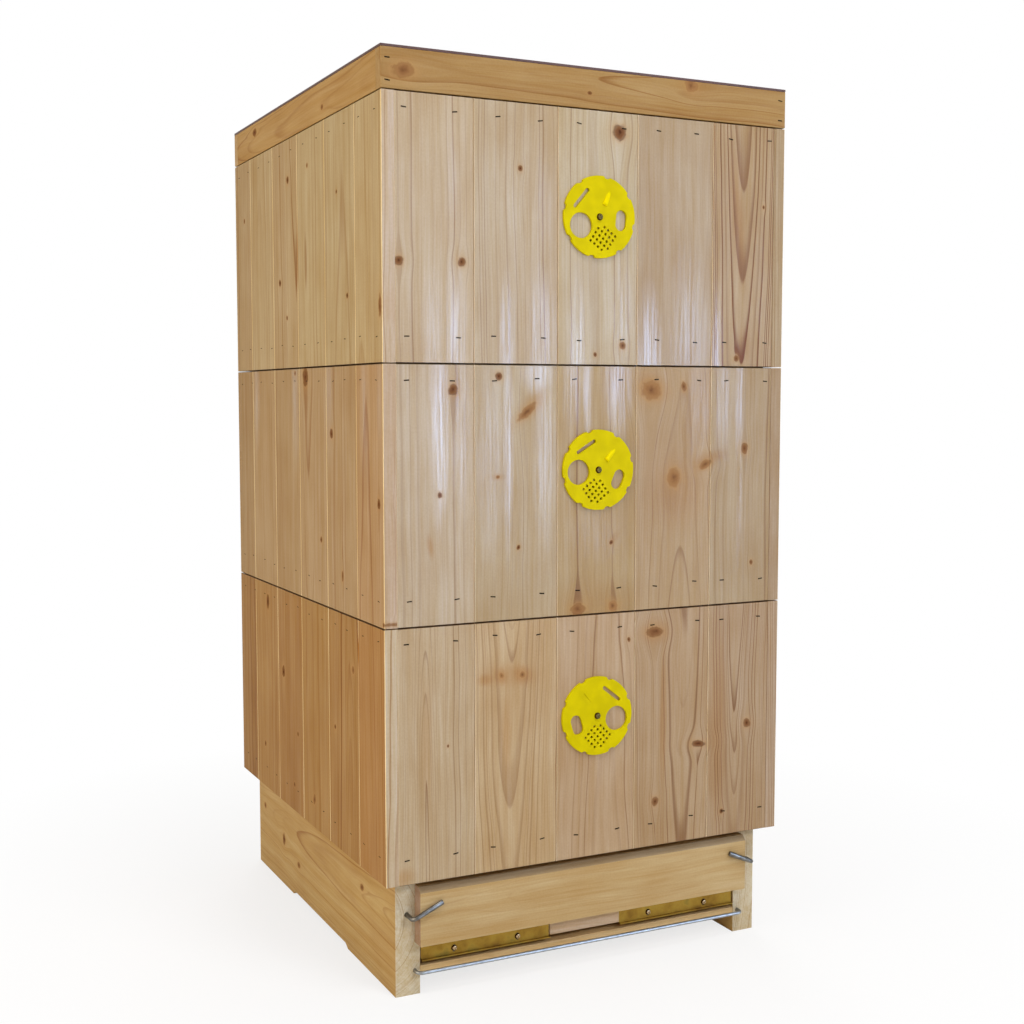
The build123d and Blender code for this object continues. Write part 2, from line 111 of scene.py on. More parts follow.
def pineFigureGroup():
    tree, add, given = newGroup(
        "pineFigure", ("Place", "Pith across", "Pith depth", "Slope", "Spacing", "Contrast", "Seed"),
        ("Late", "Fibre", "Streak", "Cloud"))
    r = pineRings
    seed = add("CombineXYZ", (given["Seed"], 3.1, given["Seed"]))
    wide, long = 1 / r["wanderWidth"], 1 / r["wanderLength"]
    slow = add("VectorMath.MULTIPLY_ADD", (given["Place"], (wide, wide, long), seed))
    wander = add("TexNoise", {"Vector": slow, "Scale": 1.0, "Detail": 2.0, "Roughness": 0.45})
    bent = add("VectorMath.SUBTRACT", (wander.outputs["Color"], (0.5, 0.5, 0.5)))
    reach = (r["wander"], r["wander"] * r["wanderDepth"], 0)
    place = add("VectorMath.MULTIPLY_ADD", (bent, reach, given["Place"]))
    apart = add("SeparateXYZ", (place,)).outputs
    across = add("Math.SUBTRACT", (apart["X"], given["Pith across"]))
    tilt = add("Math.MULTIPLY_ADD", (apart["Z"], given["Slope"], given["Pith depth"]))
    deep = add("Math.ADD", (apart["Y"], tilt))
    radius = add("VectorMath.LENGTH", (add("CombineXYZ", (across, deep)),)).outputs["Value"]
    rings = add("Math.DIVIDE", (radius, given["Spacing"]))
    decade = add("Math.MULTIPLY_ADD", (rings, r["decade"], given["Seed"]))
    growth = add("TexNoise", {"W": decade, "Scale": 1.0, "Detail": 1.0}, noise_dimensions="1D")
    rings = add("Math.MULTIPLY_ADD", (growth, r["growth"], rings))  # wet and dry years
    year = add("Math.ADD", (add("Math.FLOOR", (rings,)), given["Seed"]))
    season = add("Math.FRACT", (rings,))
    weather = add("TexWhiteNoise", {"W": year}, noise_dimensions="1D").outputs["Value"]
    weather = add("Math.POWER", (weather, r["rareBold"]))
    weather = add("MapRange", {"Value": weather, "To Min": r["faint"], "To Max": r["bold"]})
    # late wood is broad where the figure is bold
    width = add("Math.MULTIPLY_ADD", (given["Contrast"], r["lateBroad"], r["lateFrom"]))
    darker = add("MapRange", {"Value": season, "From Min": width, "From Max": r["lateTo"]},
                 interpolation_type="SMOOTHSTEP")
    stop = add("MapRange", {"Value": season, "From Min": r["lateTo"], "From Max": 1.0, "To Min": 1.0, "To Max": 0.0})
    band = add("Math.MULTIPLY", (darker, stop))
    band = add("Math.MULTIPLY", (band, weather))
    taken = {"Late": add("Math.MULTIPLY", (band, given["Contrast"]))}
    for label, (fineness, detail, roughness) in pineGrain.items():
        fine = add("VectorMath.MULTIPLY_ADD", (place, fineness, seed))
        taken[label] = add("TexNoise", {"Vector": fine, "Scale": 1.0, "Detail": detail, "Roughness": roughness})
    add("NodeGroupOutput", taken)
    return tree


# One knot: bends the grain round itself, and passes on the distance to the nearest knot's edge (1 = on the edge).
# The bend is girth knots wide, dies out at reach knots above and below, and slowly sideways.
pineKnot = {"reach": 2.6, "sideways": 0.08, "girth": 1.5}


def pineKnotGroup():
    tree, add, given = newGroup(
        "pineKnot", ("Place", "Near", "Dark", "Across", "Height", "Radius", "Stretch", "Tilt", "Strength"),
        ("Place", "Near", "Dark"))
    centre = add("CombineXYZ", {0: given["Across"], 2: given["Height"]})
    offset = add("VectorMath.SUBTRACT", (given["Place"], centre))
    turned = add("VectorRotate", {"Vector": offset, "Angle": given["Tilt"]}, rotation_type="Y_AXIS")
    apart = add("SeparateXYZ", (turned,)).outputs
    tall = add("Math.MULTIPLY", (given["Radius"], given["Stretch"]))
    side = add("Math.DIVIDE", (apart["X"], given["Radius"]))
    rise = add("Math.DIVIDE", (apart["Z"], tall))
    away = add("VectorMath.LENGTH", (add("CombineXYZ", (side, rise)),)).outputs["Value"]
    nearest = add("Math.MINIMUM", (away, given["Near"]))
    isNew = add("Math.LESS_THAN", (away, given["Near"]))
    dark = add("Mix", {0: isNew, 2: given["Dark"], 3: given["Strength"]})
    # grain lines part above the knot and close below it
    straight = add("SeparateXYZ", (offset,)).outputs
    reach = add("Math.MULTIPLY", (tall, pineKnot["reach"]))
    along = add("Math.DIVIDE", (straight["Z"], reach))
    along = add("Math.MULTIPLY", (along, along))
    beside = add("Math.DIVIDE", (straight["X"], given["Radius"]))
    beside = add("Math.MULTIPLY", (beside, beside))
    along = add("Math.MULTIPLY_ADD", (beside, pineKnot["sideways"], along))
    along = add("Math.MULTIPLY", (along, -1.0))
    fade = add("Math.EXPONENT", (along,))
    girth = add("Math.MULTIPLY", (given["Radius"], pineKnot["girth"]))
    girth = add("Math.MULTIPLY", (girth, girth))
    lens = add("Math.MULTIPLY", (girth, fade))
    square = add("Math.MULTIPLY", (straight["X"], straight["X"]))
    spread = add("Math.ADD", (square, lens))
    pull = add("Math.DIVIDE", (square, spread))
    across = add("Math.MULTIPLY_ADD", (straight["X"], pull, given["Across"]))
    whole = add("SeparateXYZ", (given["Place"],)).outputs
    place = add("CombineXYZ", (across, whole["Y"], whole["Z"]))
    add("NodeGroupOutput", {"Place": place, "Near": nearest, "Dark": dark})
    return tree


figureGroup, knotGroup = pineFigureGroup(), pineKnotGroup()

# Varnished spruce and pine. Knots run from the middle to the halo round them; resin and shades are factors on the wood.
pineTones = {"late": "bf8c36", "resin": (0.87, 0.69, 0.47, 1), "knotPlaces": (0.0, 0.09, 0.2, 0.27, 0.34),
             "deadKnot": ("482813", "6e4426", "7c5230", "6b4526", "b58a58"),
             "liveKnot": ("7d5636", "926841", "a2784c", "a3784b", "b58a58"),
             "knotShare": ((0.0, 1), (0.17, 0.97), (0.25, 0.8), (0.31, 0.5), (0.4, 0.18), (0.6, 0.05), (0.9, 0))}
pineShades = {"Streak": [(0.3, (0.935, 0.89, 0.8, 1)), (0.7, (1.03, 1.055, 1.1, 1))],
              "Cloud": [(0.3, (0.93, 0.865, 0.76, 1)), (0.64, (1.04, 1.045, 1.05, 1))],
              "Fibre": [(0.3, (0.94, 0.9, 0.81, 1)), (0.7, (1.045, 1.085, 1.16, 1))],
              "Fleck": [(0.35, (0.975, 0.97, 0.96, 1)), (0.65, (1.025, 1.03, 1.04, 1))]}
# A board cups and leans a little as it dries, and so catches the light in its own place: slopes per mm, heights in mm
pineCup = {"hollow": 0.00022, "lean": 0.008, "grain": 0.15}
# Colour ramps hold the boards' cuts, and 0 to 1 in them stands for these ranges
pineRanges = {"across": 200, "depth": 100, "slope": 0.2, "spacing": 10}
# Grain and brush strokes in waves per mm; knots stay dull and nearly bare of varnish
pineCoat = {"grain": (0.8, 0.8, 0.02), "brush": (0.45, 0.45, 0.012), "roughness": 0.11, "knotDull": 0.8,
            "knotBare": 0.1}
# Ragged rim of a knot: waves per mm, depth, and a knot's radius on the ramps of its tones
knotRim = {"waves": 0.16, "ragged": 0.9, "radius": 0.3}
farFromKnots, seedStep, facingEnough = 9.0, 7.3, 0.8
# An oval patch fades between these shares of its half width
patchEdge = {"stain": (0.2, 1.3), "run": (0.05, 1.5)}


def ovalPatch(add, place, across, height, wide, tall, strength, edge, tilt=None):
    away = add("VectorMath.SUBTRACT", (place, (across, 0, height)))
    if tilt is not None:
        away = add("VectorRotate", {"Vector": away, "Angle": radians(tilt)}, rotation_type="Y_AXIS")
    away = add("VectorMath.MULTIPLY", (away, (1 / wide, 0, 1 / tall)))
    away = add("VectorMath.LENGTH", (away,)).outputs["Value"]
    return add("MapRange", {"Value": away, "From Min": edge[0], "From Max": edge[1], "To Min": strength, "To Max": 0.0},
               interpolation_type="SMOOTHSTEP")


# Varnished pine board: satin coat, honey tint, fibres that break up the gloss.
# look: turn and face put the grain along Z and the face at Y = 0; first and pitch lay out the boards;
# boards are (tint, pith across, pith depth, slope, contrast, ring spacing); edges tint the faces that look one way;
# knots are (across, height, radius, stretch, tilt, strength), and so are stains of resin;
# runs are thick varnish: (across, height, half width, half length, strength)
def pine(name, look):
    material, add, spot = newMaterial(name)
    place = add("Mapping", {"Vector": spot["Object"], "Location": look.get("face", (0, 0, 0)),
                            "Rotation": look.get("turn", (0, 0, 0)), "Scale": (1000, 1000, 1000)})
    boards, pitch, first = look["boards"], look.get("pitch", 4000), look.get("first", -2000)
    count, r = len(boards), pineRanges
    index = add("Math.SUBTRACT", (add("SeparateXYZ", (place,)).outputs["X"], first))
    index = add("Math.DIVIDE", (index, pitch))
    index = add("Math.FLOOR", (index,))
    share = add("Math.MULTIPLY_ADD", (index, 1 / count, 0.5 / count))
    cuts = [(i / count, (b[1] / r["across"] + 0.5, b[2] / r["depth"], b[3] / r["slope"] + 0.5, b[4]))
            for i, b in enumerate(boards)]
    tints = [(i / count, linearColour(b[0])[:3] + [b[5] / r["spacing"]]) for i, b in enumerate(boards)]
    cut = add("ValToRGB", (share,), stops=cuts, ease="CONSTANT")
    tint = add("ValToRGB", (share,), stops=tints, ease="CONSTANT")
    parts = add("SeparateColor", (cut,)).outputs
    pithAcross = add("Math.MULTIPLY_ADD", (parts[0], r["across"], -r["across"] / 2))
    pithDepth = add("Math.MULTIPLY", (parts[1], r["depth"]))
    slope = add("Math.MULTIPLY_ADD", (parts[2], r["slope"], -r["slope"] / 2))
    spacing = add("Math.MULTIPLY", (tint.outputs["Alpha"], r["spacing"]))
    for edgeTint, edgeWay in look.get("edges", ()):
        facing = add("VectorMath.DOT_PRODUCT", (spot["Normal"], edgeWay)).outputs["Value"]
        facing = add("Math.GREATER_THAN", (facing, facingEnough))
        tint = add("Mix", {0: facing, 6: tint, 7: edgeTint}, **blended).outputs[2]

    flow, near, dark = place, farFromKnots, 0.0
    for across, height, radius, stretch, tilt, strength in look.get("knots", ()):
        knot = add("Group", {"Place": flow, "Near": near, "Dark": dark, "Across": across, "Height": height,
                             "Radius": radius, "Stretch": stretch, "Tilt": radians(tilt), "Strength": strength},
                   node_tree=knotGroup).outputs
        flow, near, dark = knot["Place"], knot["Near"], knot["Dark"]

    middle = add("Math.MULTIPLY_ADD", (index, pitch, first + pitch / 2))
    boardMiddle = add("CombineXYZ", {0: middle, 2: look.get("middle", 0)})
    onBoard = add("VectorMath.SUBTRACT", (flow, boardMiddle))
    seed = add("Math.MULTIPLY_ADD", (index, seedStep, look.get("seed", 0)))
    figure = add("Group", {"Place": onBoard, "Pith across": pithAcross, "Pith depth": pithDepth, "Slope": slope,
                           "Spacing": spacing, "Contrast": cut.outputs["Alpha"], "Seed": seed},
                 node_tree=figureGroup).outputs

    lateTint = add("Mix", {0: 1.0, 6: tint, 7: look.get("late", pineTones["late"])}, **tinted).outputs[2]
    colour = add("Mix", {0: figure["Late"], 6: tint, 7: lateTint}, **blended).outputs[2]
    fleck = add("TexNoise", {"Vector": place, "Scale": 0.45, "Detail": 2.0})  # pores and stipple, 2 mm
    for layer, stops in pineShades.items():
        shade = add("ValToRGB", (fleck if layer == "Fleck" else figure[layer],), stops=stops)
        colour = add("Mix", {0: 1.0, 6: colour, 7: shade}, **tinted).outputs[2]
    for across, height, radius, stretch, tilt, strength in look.get("stains", ()):
        resin = ovalPatch(add, place, across, height, radius, radius * stretch, strength, patchEdge["stain"], tilt)
        colour = add("Mix", {0: resin, 6: colour, 7: pineTones["resin"]}, **tinted).outputs[2]

    grain = add("VectorMath.MULTIPLY", (place, pineCoat["grain"]))
    grain = add("TexNoise", {"Vector": grain, "Scale": 1.0, "Detail": 2.0})
    lean = add("TexWhiteNoise", {"W": seed}, noise_dimensions="1D").outputs["Value"]
    lean = add("MapRange", {"Value": lean, "To Min": -1.0, "To Max": 1.0})
    cupped = add("SeparateXYZ", (onBoard,)).outputs["X"]
    tilted = add("Math.MULTIPLY_ADD", (cupped, pineCup["hollow"], pineCup["lean"]))
    tilted = add("Math.MULTIPLY", (tilted, lean))
    rise = add("Math.MULTIPLY", (tilted, cupped))
    rise = add("Math.MULTIPLY_ADD", (grain, pineCup["grain"], rise))
    relief = add("Bump", {"Strength": 1.0, "Distance": 0.001, "Height": rise})
    gloss = add("MapRange", {"Value": figure["Streak"], "From Min": 0.3, "From Max": 0.7,
                             "To Min": look.get("dull", 0.55), "To Max": look.get("shiny", 0.42)})
    brush = add("VectorMath.MULTIPLY", (place, pineCoat["brush"]))
    brush = add("TexNoise", {"Vector": brush, "Scale": 1.0, "Detail": 3.0, "Roughness": 0.6})  # strokes of 2 mm
    brush = add("MapRange", {"Value": brush, "From Min": 0.4, "From Max": 0.6, "To Min": 0.15, "To Max": 1.0})
    wet = look.get("varnish", 0.03)
    for across, height, wide, tall, strength in look.get("runs", ()):
        run = ovalPatch(add, place, across, height, wide, tall, strength, patchEdge["run"])
        wet = add("Math.MAXIMUM", (run, wet))
    varnish = add("Math.MULTIPLY", (brush, wet))

    if look.get("knots"):  # dark and dull, and their resin keeps the varnish off
        rough = add("TexNoise", {"Vector": place, "Scale": knotRim["waves"], "Detail": 3.0})
        ragged = add("Math.SUBTRACT", (rough, 0.5))
        ragged = add("Math.MULTIPLY_ADD", (ragged, knotRim["ragged"], near))
        edge = add("Math.MULTIPLY", (ragged, knotRim["radius"]))
        live, dead = (add("ValToRGB", (edge,), stops=list(zip(pineTones["knotPlaces"], pineTones[kind])))
                      for kind in ("liveKnot", "deadKnot"))
        knotColour = add("Mix", {0: dark, 6: live, 7: dead}, **blended).outputs[2]
        knotted = add("ValToRGB", (edge,), stops=[(at, (part, part, part, 1)) for at, part in pineTones["knotShare"]])
        colour = add("Mix", {0: knotted, 6: colour, 7: knotColour}, **blended).outputs[2]
        gloss = add("Mix", {0: knotted, 2: gloss, 3: pineCoat["knotDull"]})
        bare = add("MapRange", {"Value": knotted, "To Min": 1.0, "To Max": pineCoat["knotBare"]})
        varnish = add("Math.MULTIPLY", (varnish, bare))
    shader = add("BsdfPrincipled", {
        "Base Color": colour, "Roughness": gloss, "Normal": relief, "IOR": 1.5,
        "Specular IOR Level": look.get("gleam", 0.04), "Coat Weight": varnish, "Coat IOR": 1.6,
        "Coat Roughness": pineCoat["roughness"], "Coat Normal": relief})
    add("OutputMaterial", (shader,))
    return material


# Cladding: each side of each body has its own five or six boards, numbered along the wall.
# Knots of the front and the left side stand where the photograph has them.
wallSides = {  # turn, face, first board's edge, outward
    "front": (0, 270, -241.5, (0, -1)), "left": (-90, -245, -289.5, (-1, 0)),
    "rear": (180, 270, -241.5, (0, 1)), "right": (90, -245, -289.5, (1, 0))}
wallLooks = {
    ("upper", "front"): {
        "late": "aa773f",
        "boards": [
            ("baa78c", -85, 30, 0.02, 0.45, 7.5), ("b5a286", 90, 30, -0.03, 0.5, 5.5),
            ("b8a88c", -80, 35, 0.0, 0.4, 8.0), ("aa9578", 4, 60, -0.03, 0.22, 6.0),
            ("ac9472", -9, 30.3, -0.034, 0.97, 3.4)],
        "runs": [
            (-165, 685, 11, 85, 0.6), (-190, 685, 14, 75, 0.35), (-166, 850, 10, 90, 0.2), (-106, 672, 9, 80, 0.85),
            (-66, 685, 17, 90, 0.6), (-62, 830, 13, 70, 0.25), (-23, 678, 11, 80, 0.75), (33, 715, 17, 70, 0.4),
            (67, 665, 16, 80, 1), (118, 680, 28, 110, 0.5), (156, 672, 8, 75, 0.9), (215, 760, 10, 90, 0.12)],
        "knots": [
            (-227, 769, 5, 1, 0, 0.9), (-158, 770, 4.4, 1.1, 0, 0.9), (-91, 869, 2.7, 1.1, 0, 0.9),
            (28, 915, 8.5, 1, 0, 1), (33, 688, 4, 1.1, 20, 0.6), (-1, 678, 2, 1.3, 0, 1), (217, 847, 1.6, 1.4, 0, 1),
            (182, 676, 3.2, 1.2, 0, 0.8)],
        "stains": [
            (182, 830, 9, 9, 6, 0.75), (192, 690, 10, 2.5, 0, 0.6)]},
    ("upper", "left"): {
        "boards": [
            ("b69f77", 30, 70, 0.01, 0.45, 4.5), ("b39d76", -10, 80, 0.02, 0.45, 4.5),
            ("b49e77", 20, 75, 0, 0.41, 4.7), ("b09771", -40, 50, -0.02, 0.49, 4.5),
            ("b39c76", 10, 85, 0.01, 0.41, 4.5), ("ad946f", 35, 60, 0, 0.45, 4.5)],
        "knots": [
            (39, 888, 4.2, 1.14, 0, 1), (228, 861, 2.8, 1.07, 0, 0.9), (74, 770, 4.2, 1.07, 0, 1),
            (47, 727, 2.8, 1, 0, 0.9), (-167, 740, 2.8, 1.07, 0, 1), (-135, 853, 2.2, 1.07, 0, 0.9),
            (-35, 895, 2.8, 1, 0, 0.5), (-264, 724, 4.2, 2.86, 0, 0.5)]},
    ("middle", "front"): {
        "late": "a97833",
        "boards": [
            ("b9a78e", 90, 40, 0.01, 0.38, 9.0), ("b09c7c", -85, 40, 0.0, 0.4, 8.5),
            ("aa9167", 80, 30, -0.02, 0.42, 7.5), ("ab916c", 10, 35, 0.05, 0.35, 5.0),
            ("a89271", -90, 40, 0.0, 0.4, 9.0)],
        "runs": [
            (-183, 615, 10, 105, 1), (-160, 605, 11, 80, 0.5), (-126, 570, 17, 105, 0.4), (-105, 580, 6, 105, 0.8),
            (-70, 660, 19, 24, 0.8), (-62, 570, 13, 95, 0.5), (-28, 655, 12, 60, 0.6), (-10, 655, 6, 62, 0.9),
            (27, 655, 19, 62, 0.85), (0, 485, 40, 35, 0.2), (132, 630, 17, 60, 0.4), (165, 630, 14, 75, 0.5),
            (187, 635, 6, 75, 0.9), (189, 520, 4, 90, 0.4)],
        "knots": [
            (-168, 640, 5.5, 1.1, 0, 0.9), (-183, 532, 2.6, 1.2, 0, 1), (-116, 654, 4, 1.1, 0, 1),
            (-83, 617, 4.8, 2.9, -48, 0.35), (-117, 549, 2.4, 0.8, 0, 0.3), (-93, 474, 2, 1.3, -20, 1),
            (20, 474, 2.2, 1.2, -30, 0.9), (-21, 403, 9, 0.7, 0, 0.4), (22, 404, 7, 0.8, 0, 0.1),
            (70, 640, 13, 0.8, -15, 0.2), (109, 644, 4, 1.4, 10, 0.5), (100, 543, 8.5, 1.25, 0, 0.15),
            (141, 557, 9, 0.5, 25, 0.3), (195, 574, 4.8, 1.3, 0, 0.7), (206, 443, 2.2, 1.4, 0, 0.8)],
        "stains": [
            (-194, 479, 4, 3.5, 8, 0.8), (-76, 625, 13, 1.8, -50, 0.5), (-117, 549, 12, 0.35, 0, 0.4),
            (24, 479, 5, 2.2, -40, 0.5), (74, 642, 24, 0.65, -15, 0.6), (143, 562, 20, 0.55, 20, 0.6),
            (160, 567, 14, 0.5, 8, 0.5), (106, 530, 45, 1, 0, 0.55), (0, 402, 60, 0.6, 0, 0.5)]},
    ("middle", "left"): {
        "boards": [
            ("b0906a", 20, 50, 0.02, 0.52, 4.5), ("ab8f6a", -30, 80, 0, 0.45, 4.5),
            ("ad926e", 15, 85, -0.01, 0.41, 4.7), ("a88c66", -10, 60, 0.02, 0.45, 4.5),
            ("ab8f69", 30, 80, 0, 0.41, 4.5), ("a48862", -40, 60, 0, 0.45, 4.5)],
        "runs": [
            (182, 645, 14, 75, 0.8), (19, 640, 15, 80, 0.9), (-104, 645, 13, 75, 0.8), (-217, 625, 11, 75, 0.8),
            (-260, 640, 7, 60, 0.7)],
        "knots": [
            (-21, 656, 9.8, 1.14, 0, 0.9), (-111, 592, 5.6, 1, 0, 1), (-257, 524, 4.2, 1.29, 0, 1),
            (-72, 471, 3.5, 1, 0, 0.8), (17, 661, 2.8, 1.07, 0, 0.8), (-144, 437, 2.8, 2.14, 0, 0.6),
            (-268, 401, 2.5, 1, 0, 0.7)]},
    ("lower", "front"): {
        "late": "a06b28",
        "boards": [
            ("b9a486", -7, 4.5, 0.04, 0.45, 3.4), ("bca37f", -8, 30, -0.04, 0.6, 2.8),
            ("b59b7c", 15, 90, 0.01, 0.4, 3.2), ("ae9474", 15, 30, -0.03, 0.48, 2.8),
            ("ac9375", -10, 16, -0.03, 1.0, 3.2)],
        "knots": [
            (-175, 269, 1.2, 1.5, 0, 0.9), (-113, 338, 2.4, 1.3, 20, 0.1), (-88, 337, 3.2, 1.1, -25, 0.15),
            (77, 371, 10.5, 0.6, 0, 0.7), (46, 365, 2.5, 1.1, 0, 0.9), (136, 238, 9, 0.45, -6, 1),
            (79, 178, 4.4, 1.3, 0, 0.7), (203, 255, 5, 1.1, 0, 0.8), (169, 155, 2.6, 1.1, 0, 1)],
        "stains": [
            (-101, 337, 40, 0.35, -6, 0.45), (-113, 337, 8, 1.2, 20, 0.7), (-88, 337, 13, 0.8, -25, 0.7),
            (-132, 335, 10, 0.7, 0, 0.7), (-226, 135, 14, 0.8, 20, 0.7), (77, 371, 22, 0.7, 0, 0.5),
            (162, 260, 14, 9, 0, 0.7), (89, 276, 5, 17, 0, 0.7), (-107, 270, 6, 9, 0, 0.5),
            (-199, 280, 7, 10, 0, 0.4)]},
    ("lower", "left"): {
        "boards": [
            ("a67c49", 30, 40, 0.02, 0.6, 4.5), ("a27c49", -20, 25, 0.03, 0.71, 4.7),
            ("a47f4b", 20, 80, 0, 0.45, 4.5), ("9f7846", -10, 60, -0.02, 0.52, 4.5), ("a27c49", 20, 75, 0, 0.45, 4.5),
            ("997343", -30, 60, 0, 0.49, 4.5)],
        "knots": [
            (144, 372, 5.6, 1.71, 0, 1), (80, 293, 5.6, 1.36, 0, 1), (163, 184, 3.4, 1.07, 0, 0.9),
            (24, 226, 2.8, 1.07, 0, 0.9), (40, 160, 2.8, 1.07, 0, 0.9), (-37, 161, 4.2, 1.43, 15, 0.6),
            (-175, 339, 4.2, 1, 0, 0.5), (-114, 264, 2.8, 1, 0, 0.8)]},
}
# the pale joint colours are painted highlights on joint chamfers that face the lamps, and the dark joint colour is
# painted shade on the chamfers that face away
wallEdges = {"left": {"upper": "c4b3a1", "middle": "bda791", "lower": "c6b7a2"},  # at the corners, paler than the sides
             "right": {"upper": "ad9a80", "middle": "a89279", "lower": "b09a83"},
             # the dark arris colour is painted shade, standing in for the shade in the seams between the bodies
             "endGrain": "94724b", "seamShadeArris": "46331f", "sideJointHighlight": "ecd6a8", "jointShade": "a8835c",
             "jointHighlight": "ead8ba"}
boardPitch, boardMiddle, slant = 97.5, 134, 0.707  # width, height of the middle, a unit's part at 45 degrees
# rear and right, which the photograph doesn't show
unseenLike, unseenReach = {"rear": "front", "right": "left"}, {"rear": 215, "right": 240}
unseenKnots = {"count": 7, "height": (15, 255), "radius": (1.6, 6.0), "stretch": (1, 1.7), "tilt": (-15, 15),
               "strength": (0.6, 1)}


def wallLook(body, side, seed):
    base = bodyBase[body]
    if (body, side) in wallLooks:
        look = dict(wallLooks[body, side])
    else:  # the timber of the other side, and knots anywhere
        look = {"boards": wallLooks[body, unseenLike[side]]["boards"][::-1]}
        u, reach, dice = unseenKnots, unseenReach[side], random.Random(seed)
        spans = ((-reach, reach), [base + z for z in u["height"]], u["radius"], u["stretch"], u["tilt"], u["strength"])
        look["knots"] = [[dice.uniform(*span) for span in spans] for _ in range(u["count"])]
    turn, face, first, (x, y) = wallSides[side]
    look.update(turn=(0, 0, radians(turn)), face=(0, face, 0), first=first, pitch=boardPitch, middle=base + boardMiddle,
                seed=seed, varnish=0.03, gleam=0.02)
    if side == "front":  # better varnished than the sides
        look.update(varnish=0.04, gleam=0.1, dull=0.45, shiny=0.32)
    look["edges"] = [(wallEdges["endGrain"], (0, 0, up)) for up in (-1, 1)]
    # painted shade: the arrises along the top and bottom edges get the dark arris colour, for the shade in the seams
    # between the bodies
    look["edges"] += [(wallEdges["seamShadeArris"], (slant * x, slant * y, slant * up)) for up in (-1, 1)]
    # painted highlight on the side walls' joint chamfers that face forward
    if x:  # joints catch the light
        look["edges"] += [(wallEdges[side][body], (0, -1, 0)), (wallEdges["sideJointHighlight"], (slant * x, -slant, 0))]
    else:
        # painted shade on the joint chamfers that face +X, painted highlight on those that face -X
        look["edges"] += [(wallEdges["jointShade"], (slant, slant * y, 0)),
                          (wallEdges["jointHighlight"], (-slant, slant * y, 0))]
    return look


def cover(material, *names):
    for name in names:
        nodes[name].data.materials.clear()
        nodes[name].data.materials.append(material)


for bodyNumber, body in enumerate(bodyBase):
    for sideNumber, side in enumerate(wallSides):
        seed = 11 * bodyNumber + 37 * sideNumber + 5
        cover(pine("varnishedPine_" + body + "_" + side, wallLook(body, side, seed)), body + "_" + side + "_cladding")
print("cladding boards finished")

# Other timber: grain along X or Y, face, board, seed, nodes, and what sets it apart
alongX, alongY = (0, radians(90), 0), (radians(90), 0, radians(90))
rawWood = {"varnish": 0.02, "dull": 0.7, "shiny": 0.6}
timber = {
    "roofFrontPine": (alongX, (-957, 270, 0), ("a88858", 12, 40, 0.02, 0.5, 3.0), 3, ["roof_front_rail"], {
        "knots": [(-1, 221, 8, 1.5, 10, 0.3), (16, -118, 7, 1.3, -20, 0.2), (-4, 9, 2, 1.5, 0, 0.9)]}),
    "roofRearPine": (alongX, (-957, -270, 0), ("b6976b", -9, 45, 0.015, 0.5, 3.0), 8, ["roof_rear_rail"], {
        "knots": [(5, -60, 4, 1.5, 0, 0.9), (-8, 170, 3, 1.6, 0, 0.8)]}),
    "roofSidePine": (alongY, (-957, 245, 0), ("b08c55", -6, 60, 0.02, 0.45, 3.0), 14,
                     ["roof_left_rail", "roof_right_rail"],
                     {"knots": [(9, 175, 5, 1.7, 0, 0.9), (-7, -90, 3, 1.5, 0, 0.6)]}),
    "runnerPine": (alongY, (-68, 228, 0), ("b6955b", 15, 50, 0.03, 0.5, 3.2), 21, ["left_runner", "right_runner"], {
        "edges": [("d1c6ad", (0, -1, 0))],
        "knots": [(-8, 143, 8, 0.7, 0, 0.75), (15, 227, 4, 1.2, 0, 0.5), (-24, 81, 4, 1.6, 0, 0.4),
                  (20, -150, 4, 1.4, 0, 0.6)]}),
    "closerPine": (alongX, (-88, 267, 0), ("c0a67a", 5, 90, 0.01, 0.1, 3.0), 26, ["closing_board"], {
        # the top bevel's colour is painted shade, standing in for the shade under the lower body's edge
        "edges": [("a08672", (-1, 0, 0)), ("a08672", (1, 0, 0)), ("9f8c70", (0, -slant, slant))]}),
    "sillPine": (alongX, (-25, 251, 0), ("d6b887", 5, 70, 0.01, 0.3, 3.0), 29, ["entrance_sill"], {}),
    "gateBoardPine": (alongX, (-45, 248, 0), ("c9b196", 5, 80, 0.01, 0.15, 3.0), 30, ["gate_board"], {}),
    "standPine": (alongX, (-75, 251, 0), ("b2935d", 20, 70, 0.01, 0.4, 3.0), 31,
                  ["stand_front_rail", "stand_rear_wall", "floor_boards"], {}),
    "innerPine": (alongX, (0, 0, 0), ("c3a77c", 30, 60, 0.01, 0.5, 3.0), 44, ["roof_ceiling", "roof_deck"] + [
        body + part for body in bodyBase for part in ("_inner_walls", "_rails")], rawWood),
    "frameWood": (alongX, (0, 0, 0), ("cdb48a", 30, 70, 0.01, 0.4, 2.4), 52,
                  [body + "_comb_frames" for body in bodyBase], rawWood),
}
for name, (turn, face, board, seed, covered, apart) in timber.items():
    cover(pine(name, {"turn": turn, "face": face, "boards": [board], "seed": seed, **apart}), *covered)
print("timber finished")

# Moulded polypropylene: even lemon yellow with a soft sheen, a little grain from the mould
discPlastic, add, spot = newMaterial("yellowPolypropylene")
flow = add("TexNoise", {"Vector": spot["Object"], "Scale": 60.0, "Detail": 2.0})
mould = add("TexNoise", {"Vector": spot["Object"], "Scale": 1400.0, "Detail": 1.0})  # 0.7 mm grain
tone = add("ValToRGB", (flow,), stops=[(0.35, "cbbb00"), (0.65, "d6c600")])
front = add("SeparateXYZ", (spot["Object"],))
# painted highlight: the tab standing proud of the plate's face gets a brighter yellow
tabHighlight = add("MapRange", {"Value": front.outputs["Y"], "From Min": -0.2731, "From Max": -0.2737})
tone = add("Mix", {0: tabHighlight, 6: tone, 7: "ead800"}, **blended).outputs[2]
skin = add("Bump", {"Strength": 0.25, "Distance": 0.0001, "Height": mould})
add("OutputMaterial", (add("BsdfPrincipled", {
    "Base Color": tone, "Roughness": 0.5, "IOR": 1.49, "Specular IOR Level": 0.02, "Normal": skin}),))

